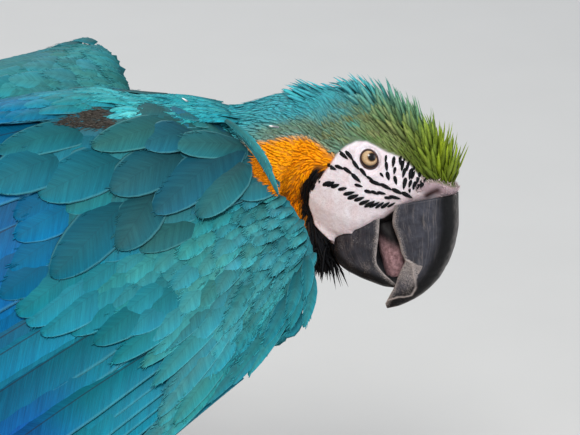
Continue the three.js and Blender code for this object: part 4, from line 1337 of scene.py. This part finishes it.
def add_pins():
    made = horn_material("pin_sheath", rgb("8b8d94"), rgb("f6f4f2"), 0.4)
    t = np.linspace(0, 1, 24)
    for k, (root, tip) in enumerate(np.array(PINS)):
        rings = tube(root + (tip - root) * t[:, None], 0.55 * np.sqrt(1.02 - t**4), 12)
        points, triangles = closed_grid(rings)
        mesh = mesh_from(f"pin_feather_{k}", points, triangles)
        put(mesh, "pale", np.concatenate([np.repeat(smooth(t, 0.5, 0.8), 12), [0, 1]]))
        add_object(f"pin_feather_{k}", mesh, made=made)


GAZE = np.array([0.24, 0.90, 0.36])  # on the head, to its left; the right eye's is its mirror
IRIS, PUPIL = 4.5, 2.05  # radii in mm
PUPIL_SHIFT = np.array([0.12, 0, 0.05])  # the pupil sits off the iris's middle, forward and up


def eye_material():
    """Iris by the distance from the gaze's axis, with fine radial threads; a clear wet coat over everything."""
    paint = Paint("eyeball")
    threads = paint.noise(paint.map_places("iris", (9, 0.9, 1)), 5.0, 4.0, 0.6)
    tone = paint.blend(paint.ramp(threads, 0.3, 0.7), (0.7, 0.66, 0.6), (1.15, 1.12, 1.1))
    colour = paint.blend(1.0, paint.attribute("tint", "Color"), tone, "MULTIPLY")
    return paint.finish(colour, Roughness=0.25, Specular_IOR_Level=0.2, Coat_Weight=0.4, Coat_Roughness=0.03)


def add_eyes():
    made = eye_material()
    rings, size = 90, 96
    for side, sign in EYE_SIDES.items():
        axis = unit(GAZE * (1, sign, 1))
        a = unit(np.cross(axis, (0, 0, 1)))
        b = np.cross(axis, a)
        polar = np.linspace(0.004, math.pi - 0.004, rings)
        turned = np.linspace(0, 2 * math.pi, size, endpoint=False)
        flat = np.cos(turned)[:, None] * a + np.sin(turned)[:, None] * b
        off = EYE_RADIUS * np.sin(polar) * (polar < math.pi / 2) + 99 * (polar >= math.pi / 2)
        cornea = 0.35 * np.exp(-((polar / 0.55) ** 2))
        grid = (EYE_RADIUS + cornea)[:, None, None] * (
            np.cos(polar)[:, None, None] * axis + np.sin(polar)[:, None, None] * flat
        )
        points, triangles = closed_grid(grid + EYE_AT * (1, sign, 1))
        radius = np.concatenate([np.repeat(off, size), [0, 99]])
        straw, brown, dark = rgb("ccb08c"), rgb("7d5a36"), rgb("1b1411")
        facing = unit(points - EYE_AT * (1, sign, 1))
        look = unit((GAZE + PUPIL_SHIFT) * (1, sign, 1))
        middle = EYE_RADIUS * np.linalg.norm(np.cross(facing, look), axis=1) + 99 * (facing @ look < 0)
        colour = mix(rgb("08080a"), brown, smooth(middle, PUPIL - 0.12, PUPIL + 0.12))
        colour = mix(colour, straw, smooth(middle, PUPIL + 0.1, PUPIL + 0.8))
        colour = mix(colour, brown, 0.6 * smooth(radius, IRIS - 1.3, IRIS - 0.3))
        colour = mix(colour, dark, smooth(radius, IRIS - 0.25, IRIS + 0.1))
        mesh = mesh_from(f"eyeball_{side}", from_head(points), fixed_normals(points, triangles))
        put(mesh, "tint", np.column_stack([colour, np.ones(len(points))]))
        angle = np.concatenate([np.tile(turned, rings), [0, 0]]) / (2 * math.pi)
        put_map(mesh, "iris", np.column_stack([angle, np.clip(radius, 0, 8) / 8]))
        add_object(f"eyeball_{side}", mesh, [f"eye_{side}"], made)


# ------------------------------------------------------------------ the lines of little feathers on the face
# Each stroke runs from root to tip as (x, z, x, z): two long rows below the eye, a comb, and columns before
# the eye.
FACE_STROKES = [
    # behind and below the eye, forward to the cere
    (-16, -6.5, -9.5, -8), (-13, -5, -6, -7.5), (-7.5, -7, -1.5, -10), (-2, -9.5, 3.5, -12),
    (3, -11.5, 7.5, -12.3), (5, -13, 12.5, -12.7), (11, -12.3, 18, -13), (17.5, -12.5, 23.5, -13),
    (22.5, -12.5, 28.5, -13.5),
    # from the ear to the gape
    (-19, -16, -12.5, -15.5), (-14.5, -14, -9, -13.5), (-10, -13, -4, -14), (-5, -14, 1.5, -16),
    (-1, -18.5, 3.5, -17.5), (5, -19.5, 9.5, -18.5), (8, -18, 12.5, -18), (11, -17.5, 15.5, -16.5),
    (15.5, -18.5, 19.5, -17), (17.5, -17, 23.5, -16),
    # the comb across the cheek
    (-16, -27, -13, -22.5), (-14, -26.5, -11, -22), (-11.5, -26, -8, -22), (-7.5, -25.5, -3.5, -22),
    (-4, -26.5, 1, -22), (-1, -27.5, 3.5, -22.5), (2.5, -27, 6.5, -22.5), (5.5, -27.5, 9.5, -22.5),
    (8.5, -28, 12, -22), (11, -27, 14.5, -21.5), (14, -26, 16.5, -20.5), (16.5, -25, 19, -19.5),
    (19, -23.5, 21.5, -19),
    # the columns in front of the eye
    (7, 2.5, 8.5, -1.5), (8.5, -0.5, 11, -5), (11, -5, 14, -9), (8.5, -7, 11, -8.5), (11, 3.5, 13, -2),
    (14, -1, 15, -5), (15.5, -5.5, 18.5, -9.5), (13.5, 4.5, 16, 0.5), (15.5, 4, 17.5, -2),
    (18.5, 0.5, 19.5, -5), (21, -4, 22.5, -10.5), (18.5, 3.5, 20, -1), (21.5, 1.5, 23, -4.5),
    (24, -4, 24.5, -8.5), (25, -8.5, 26, -11), (21.5, 3, 22.5, 0), (23.5, 0.5, 24, -4), (26.5, -4, 27, -9),
    (26, 0.5, 27.5, -5), (28.5, -4.5, 28.5, -8.5), (28.5, -2, 30, -6.5), (30, -1.5, 30.5, -5.5),
]


def add_face_feathers(made):
    """Black tufts in their curved rows over the bare skin of both cheeks."""
    strokes = np.array(FACE_STROKES, float)
    start, way = strokes[:, :2], strokes[:, 2:] - strokes[:, :2]
    t = np.array([0, 0.2, 0.5, 0.8, 1])
    for side, sign in EYE_SIDES.items():
        flat = start[:, None] + way[:, None] * t[:, None] + rng.normal(size=(len(start), 1, 2)) * 0.12
        out = np.stack([flat[..., 0], np.full(flat.shape[:2], sign * 60.0), flat[..., 1]], -1)
        hit, up, patch = surface.shoot(from_head(out).reshape(-1, 3), -sign * LEFT)
        centre, up = hit.reshape(out.shape), up.reshape(out.shape)
        centre = centre + up * (0.1 + 0.45 * t)[:, None]
        stretch = np.clip(np.linalg.norm(way, axis=1) / 5.5, 0.6, 1)
        half = 1.1 * np.array([0.45, 1.0, 1.0, 0.6]) * stretch[:, None]
        half = half * rng.uniform(0.85, 1.1, (len(start), 1))
        tint = varied(tile(rgb("15181b"), start), t, light=0.15)
        blades(f"face_lines_{side}", centre, up, half, tint, patch.reshape(len(start), len(t), 2)[:, 0],
               made, camber=0.35, thick=0.22)


# ------------------------------------------------------------------ stand and claws
def wood_material():
    paint = Paint("stand_wood")
    at = paint.places((0.05, 1, 1))
    waves = {"Scale": 0.035, "Distortion": 7.0, "Detail": 3.0, "Detail Scale": 1.4}
    rings = paint.node("TexWave", at, wave_type="BANDS", bands_direction="Y", **waves)
    pores = paint.noise(at, 0.9, 5.0, 0.7)
    grain = paint.blend(rings.outputs["Fac"], rgb("4a2c1b"), rgb("6b4529"))
    grain = paint.blend(paint.ramp(pores, 0.5, 0.75), grain, rgb("2c190f"))
    return paint.finish(grain, pores, 0.15, 0.3, Roughness=0.42, Coat_Weight=0.25)


def steel_material():
    paint = Paint("stand_steel")
    brushed = paint.noise(paint.places((3, 3, 0.05)), 1.0, 4.0, 0.6)
    colour = paint.blend(brushed, rgb("8d9093"), rgb("b9bcbf"))
    rough = paint.ramp(brushed, 0.0, 1.0, 0.25, 0.45)
    return paint.finish(colour, brushed, 0.1, 0.1, Metallic=1.0, Roughness=rough)


def perch_material():
    """Cream powder paint, a little uneven and grubby."""
    paint = Paint("perch_paint")
    at = paint.places()
    grime = paint.noise(at, 0.05, 6.0, 0.7, 1.0)
    cream = paint.blend(paint.ramp(grime, 0.45, 0.8), rgb("d9d0bd"), rgb("a4937a"))
    return paint.finish(cream, paint.noise(at, 0.7, 3.0), 0.2, 0.3, Roughness=0.4)


def paint_stand():
    """Materials for the CAD nodes that stay."""
    stand = {"stand_base": wood_material(), "stand_post": steel_material(), "stand_perch": perch_material()}
    for name, made in stand.items():
        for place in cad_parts[name].material_slots:
            place.material = made


# Each toe bends round the perch, as in the part: its way along x, its shifts to the side, the angle from the
# perch's top where it ends, and its size
TOES = {
    "inner_front": (1, -8, -4, 118, 0.92), "outer_front": (1, 7, 5, 138, 1.0),
    "inner_back": (-1, -6, -3, 96, 0.88), "outer_back": (-1, 7, 5, 128, 0.96),
}
FOOT_AT, FOOT_SPREAD, PERCH_RADIUS = -24.0, 31.0, 6.0


def add_claws():
    """Hooked claws that grow out of the toes' ends and follow the perch round."""
    made = horn_material("claw_horn", rgb("242326"), rgb("8d8480"), 0.35)
    t = np.linspace(0, 1, 60)
    for side, sign in EYE_SIDES.items():
        for toe, (way, off, splay, reach, size) in TOES.items():
            angle = np.radians(reach - 7 + 76 * t)
            radius = 2.9 * size * (1 - t) ** 0.62 + 0.12
            out = PERCH_RADIUS + 0.5 + 1.9 * t + radius
            shift = FOOT_SPREAD + off * np.minimum(1, 0.45 + angle / 2) + splay * angle / 2
            ahead, height = FOOT_AT + way * np.sin(angle) * out, np.cos(angle) * out - PERCH_RADIUS
            line = np.column_stack([ahead, sign * shift, height])
            rings = tube(line, radius, 24, (0.82, 1.0))
            points, triangles = closed_grid(rings)
            triangles = fixed_normals(points - points.mean(0), triangles)
            mesh = mesh_from(f"claw_{toe}_{side}_horn", points, triangles)
            put(mesh, "worn", np.concatenate([np.repeat(0.5 * smooth(t, 0.5, 1), 24), [0, 0.5]]))
            around = np.concatenate([np.tile(np.linspace(0, 0.6, 24), len(t)), [0, 0]])
            put_map(mesh, "horn", np.column_stack([around, np.concatenate([np.repeat(t * 2, 24), [0, 2]])]))
            add_object(f"claw_{toe}_{side}_horn", mesh, [f"claw_{toe}_{side}"], made)


# ------------------------------------------------------------------ camera, floor and lights
VIEW = {"azimuth": -22, "elevation": 22, "distance": 1600, "lens": 184.4, "sensor": 36}
MIDDLE = np.array([78, -26, 100])  # what the picture's centre looks at


def add_camera():
    az, el = math.radians(VIEW["azimuth"]), math.radians(VIEW["elevation"])
    back = np.array([math.sin(az) * math.cos(el), -math.cos(az) * math.cos(el), math.sin(el)])
    data = bpy.data.cameras.new("camera")
    data.lens, data.sensor_width = VIEW["lens"], VIEW["sensor"]
    data.clip_start, data.clip_end = 0.05, 50
    camera = bpy.data.objects.new("camera", data)
    camera.location = Vector(metres(MIDDLE + back * VIEW["distance"]))
    camera.rotation_euler = Vector(back).to_track_quat("Z", "Y").to_euler()
    bpy.context.collection.objects.link(camera)
    bpy.context.scene.camera = camera


def add_light(name, at, aim, size, watts, tone):
    data = bpy.data.lights.new(name, "AREA")
    data.shape, data.size, data.energy, data.color = "DISK", size, watts, tone
    lamp = bpy.data.objects.new(name, data)
    lamp.location = at
    lamp.rotation_euler = (Vector(at) - Vector(aim)).to_track_quat("Z", "Y").to_euler()
    bpy.context.collection.objects.link(lamp)


def add_studio():
    """A wide pale floor under soft lights, the strongest from the upper left."""
    bpy.context.scene.view_settings.view_transform = "Standard"
    floor = bpy.data.meshes.new("floor")
    bm = bmesh.new()
    bmesh.ops.create_grid(bm, x_segments=8, y_segments=8, size=6)
    bm.to_mesh(floor)
    bm.free()
    paint = Paint("floor")
    speckle = paint.noise(paint.node("TexCoord").outputs["Object"], 9.0, 5.0)
    colour = paint.blend(speckle, (0.60, 0.60, 0.59), (0.64, 0.64, 0.63))
    floor.materials.append(paint.finish(colour, Roughness=0.8))
    ground = bpy.data.objects.new("floor", floor)
    bpy.context.collection.objects.link(ground)
    world = bpy.data.worlds.new("studio")
    world.use_nodes = True
    sky = world.node_tree.nodes["Background"]
    sky.inputs["Color"].default_value = (0.82, 0.86, 0.92, 1)
    sky.inputs["Strength"].default_value = 0.5
    bpy.context.scene.world = world
    aim = metres(MIDDLE)
    add_light("key", (-0.5, -1.3, 1.9), aim, 0.7, 38, (1.0, 0.98, 0.94))
    add_light("fill", (1.7, -1.4, 0.9), aim, 1.4, 12, (0.92, 0.96, 1.0))
    add_light("rim", (0.2, 1.6, 1.6), aim, 1.2, 14, (1.0, 1.0, 1.0))


# ------------------------------------------------------------------ the macaw
add_camera()
add_studio()
skin = build_skin()
surface = Surface(skin)
down_coat = feather_material("down", shaft=0.0, rim=0.0, barbs=2.4, deep=0.85)
vane_coat = feather_material("vane", shaft=0.12, rim=0.34, barbs=1.9, deep=0.86)
soft_coat = feather_material("contour", shaft=0.06, rim=0.0, barbs=2.0, deep=0.84)
flight_coat = feather_material("flight", shaft=0.7, rim=0.3, barbs=1.3, roughness=0.45, deep=0.76)


def nape_line(points):
    """How far in front of the ragged line between the head's tufts and the neck's a point lies, in mm."""
    return to_head(points)[:, 0] + 42 + 8 * noise(points, 8, 21)


def away(points):
    """0 at the head, 1 where the neck joins the trunk."""
    return smooth(-nape_line(points), 0, 34)


def head_spacing(points):
    covered = (bareness(points) < 0.3) & (nape_line(points) > 0) & (on_wing(points) < 0.5) & (points[:, 2] > 60)
    return np.where(covered, 1.2, 0)


def neck_spacing(points):
    covered = (nape_line(points) <= 0) & (points[:, 0] > 40) & (on_wing(points) < 0.5)
    return np.where(covered, 1.25 + 0.5 * away(points), 0)


def down_leg(points):
    """0 on the trunk, 1 at the ankles."""
    return smooth(100 - points[:, 2], 0, 66) * smooth(46 - np.abs(points[:, 0] + 24), 0, 20)


def trunk_spacing(points):
    covered = (points[:, 0] <= 40) & (on_wing(points) < 0.5) & (points[:, 2] > 25)
    return np.where(covered, 5.2 - 3.1 * down_leg(points), 0)


QUILLS = [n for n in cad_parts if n.startswith("wing") and not n.endswith("coverts")]


def lining_spacing(points):
    """The small feathers of the wings' undersides stop short of the flight feathers, which would be pierced."""
    return np.where((on_wing(points) > 0.5) & (distances(QUILLS, points) > 12), 5.0, 0)


def crown(points):
    """1 on the top of the head, fading to the nape and the brow."""
    hx, _, hz = to_head(points).T
    height = hz + 0.2 * hx + 0.9 * np.maximum(hx - 24, 0) + 1.6 * np.maximum(-34 - hx, 0)
    return smooth(height, 8, 26) * smooth(hx, -52, -39)


def plume_spacing(points):
    return np.where((crown(points) > 0.22) & (bareness(points) < 0.3) & (on_wing(points) < 0.5), 2.5, 0)


def chin(points):
    """1 under the jaw, where the black feathers hang like a beard."""
    local = to_head(points)
    return smooth(-local[:, 2], 44, 54) * smooth(local[:, 0], -26, -14) * smooth(5 - local[:, 0], 0, 6)


def hanging(points):
    """The beard hangs and the black band runs down behind the cheek; every other feather follows the flow."""
    local = to_head(points)
    hx, _, hz = local.T
    band = smooth(13 - face_distance(local), 0, 4) * smooth(-14 - hz, 0, 8) * smooth(6 - hx, 0, 5)
    way = mix(flow(points), 0.25 * FORWARD - 0.97 * UP, 0.85 * band)
    return unit(mix(way, np.array([0.1, -0.15, -1.0]), 0.9 * chin(points)))


def cere_spacing(points):
    local = to_head(points)
    near = (face_distance(local) > -8) & (bareness(points) > 0.3) & (local[:, 0] - 0.4 * local[:, 2] > 30)
    near &= near_line(local[:, [0, 2]], NOSTRIL) > 3.4
    return np.where(near & (local[:, 0] < 47), 1.15, 0)


add_coat("head_tufts", down_coat, head_spacing, LANCE, lambda p: 7.0 + 14 * chin(p),
         constant(1.8), lambda p: 0.9 + 2.6 * crown(p) + 2 * chin(p), plumage, way=hanging, free=chin,
         thick=0.15, camber=0.15, tones={"root": 0.95, "light": 0.1})
add_coat("crown_plumes", down_coat, plume_spacing, LANCE,
         constant(12.5), constant(3.7),
         lambda p: 2.0 + crown(p) * (8.6 + 0.6 * smooth(to_head(p)[:, 0], 6, 28)),
         lambda p: plumage(p) * 1.06, tones={"root": 0.66, "tip": 1.22, "light": 0.14}, scatter=0.16)
add_coat("cere_bristles", down_coat, cere_spacing, LANCE, constant(3.2), constant(0.45),
         constant(1.3), lambda p: tile(rgb("c9b4b6"), p), tones={"light": 0.35}, scatter=0.5, thick=0.15)
add_coat("neck_tufts", down_coat, neck_spacing, LANCE, lambda p: 7.0 + 5 * away(p),
         lambda p: 2.1 + 0.8 * away(p), lambda p: 0.5 + 0.7 * away(p), plumage, thick=0.1, camber=0.06,
         scatter=0.09, tones={"root": 1.05, "light": 0.07})
add_coat("body_feathers", soft_coat, trunk_spacing, OVATE, lambda p: 22 - 14 * down_leg(p),
         lambda p: 12 - 8.6 * down_leg(p), lambda p: 3.0 - 1.9 * down_leg(p), plumage)
add_coat("wing_lining", soft_coat, lining_spacing, OVATE, constant(15.0), constant(10.0),
         constant(1.6), lambda p: wing_cover(*surface.nearest(p)[:2]),
         way=lambda p: tile((-0.75, 0.0, -0.6), p))
for side in WINGS:
    add_wing(side, vane_coat, flight_coat)
add_mantle(vane_coat)
# brown down between the mantle and the first shoulder feathers, and the neck's side showing over the wing's
# front edge
add_tuft_patch("back_down", down_coat, [(-0.4, 0.40), (0.2, 0.54), (0.8, 0.30)], 3200,
               DOWN, 2.6, 4.2, 0.06)
add_tuft_patch("neck_side_tufts", down_coat, [(2.05, 0.0), (2.35, 0.035), (3.0, 0.015)], 900,
               ORANGE_DEEP, 0.8, 2.6, 0.02)
add_tail(flight_coat)
add_pins()
add_bill()
add_tongue()
add_eyes()
add_face_feathers(down_coat)
add_claws()
paint_stand()
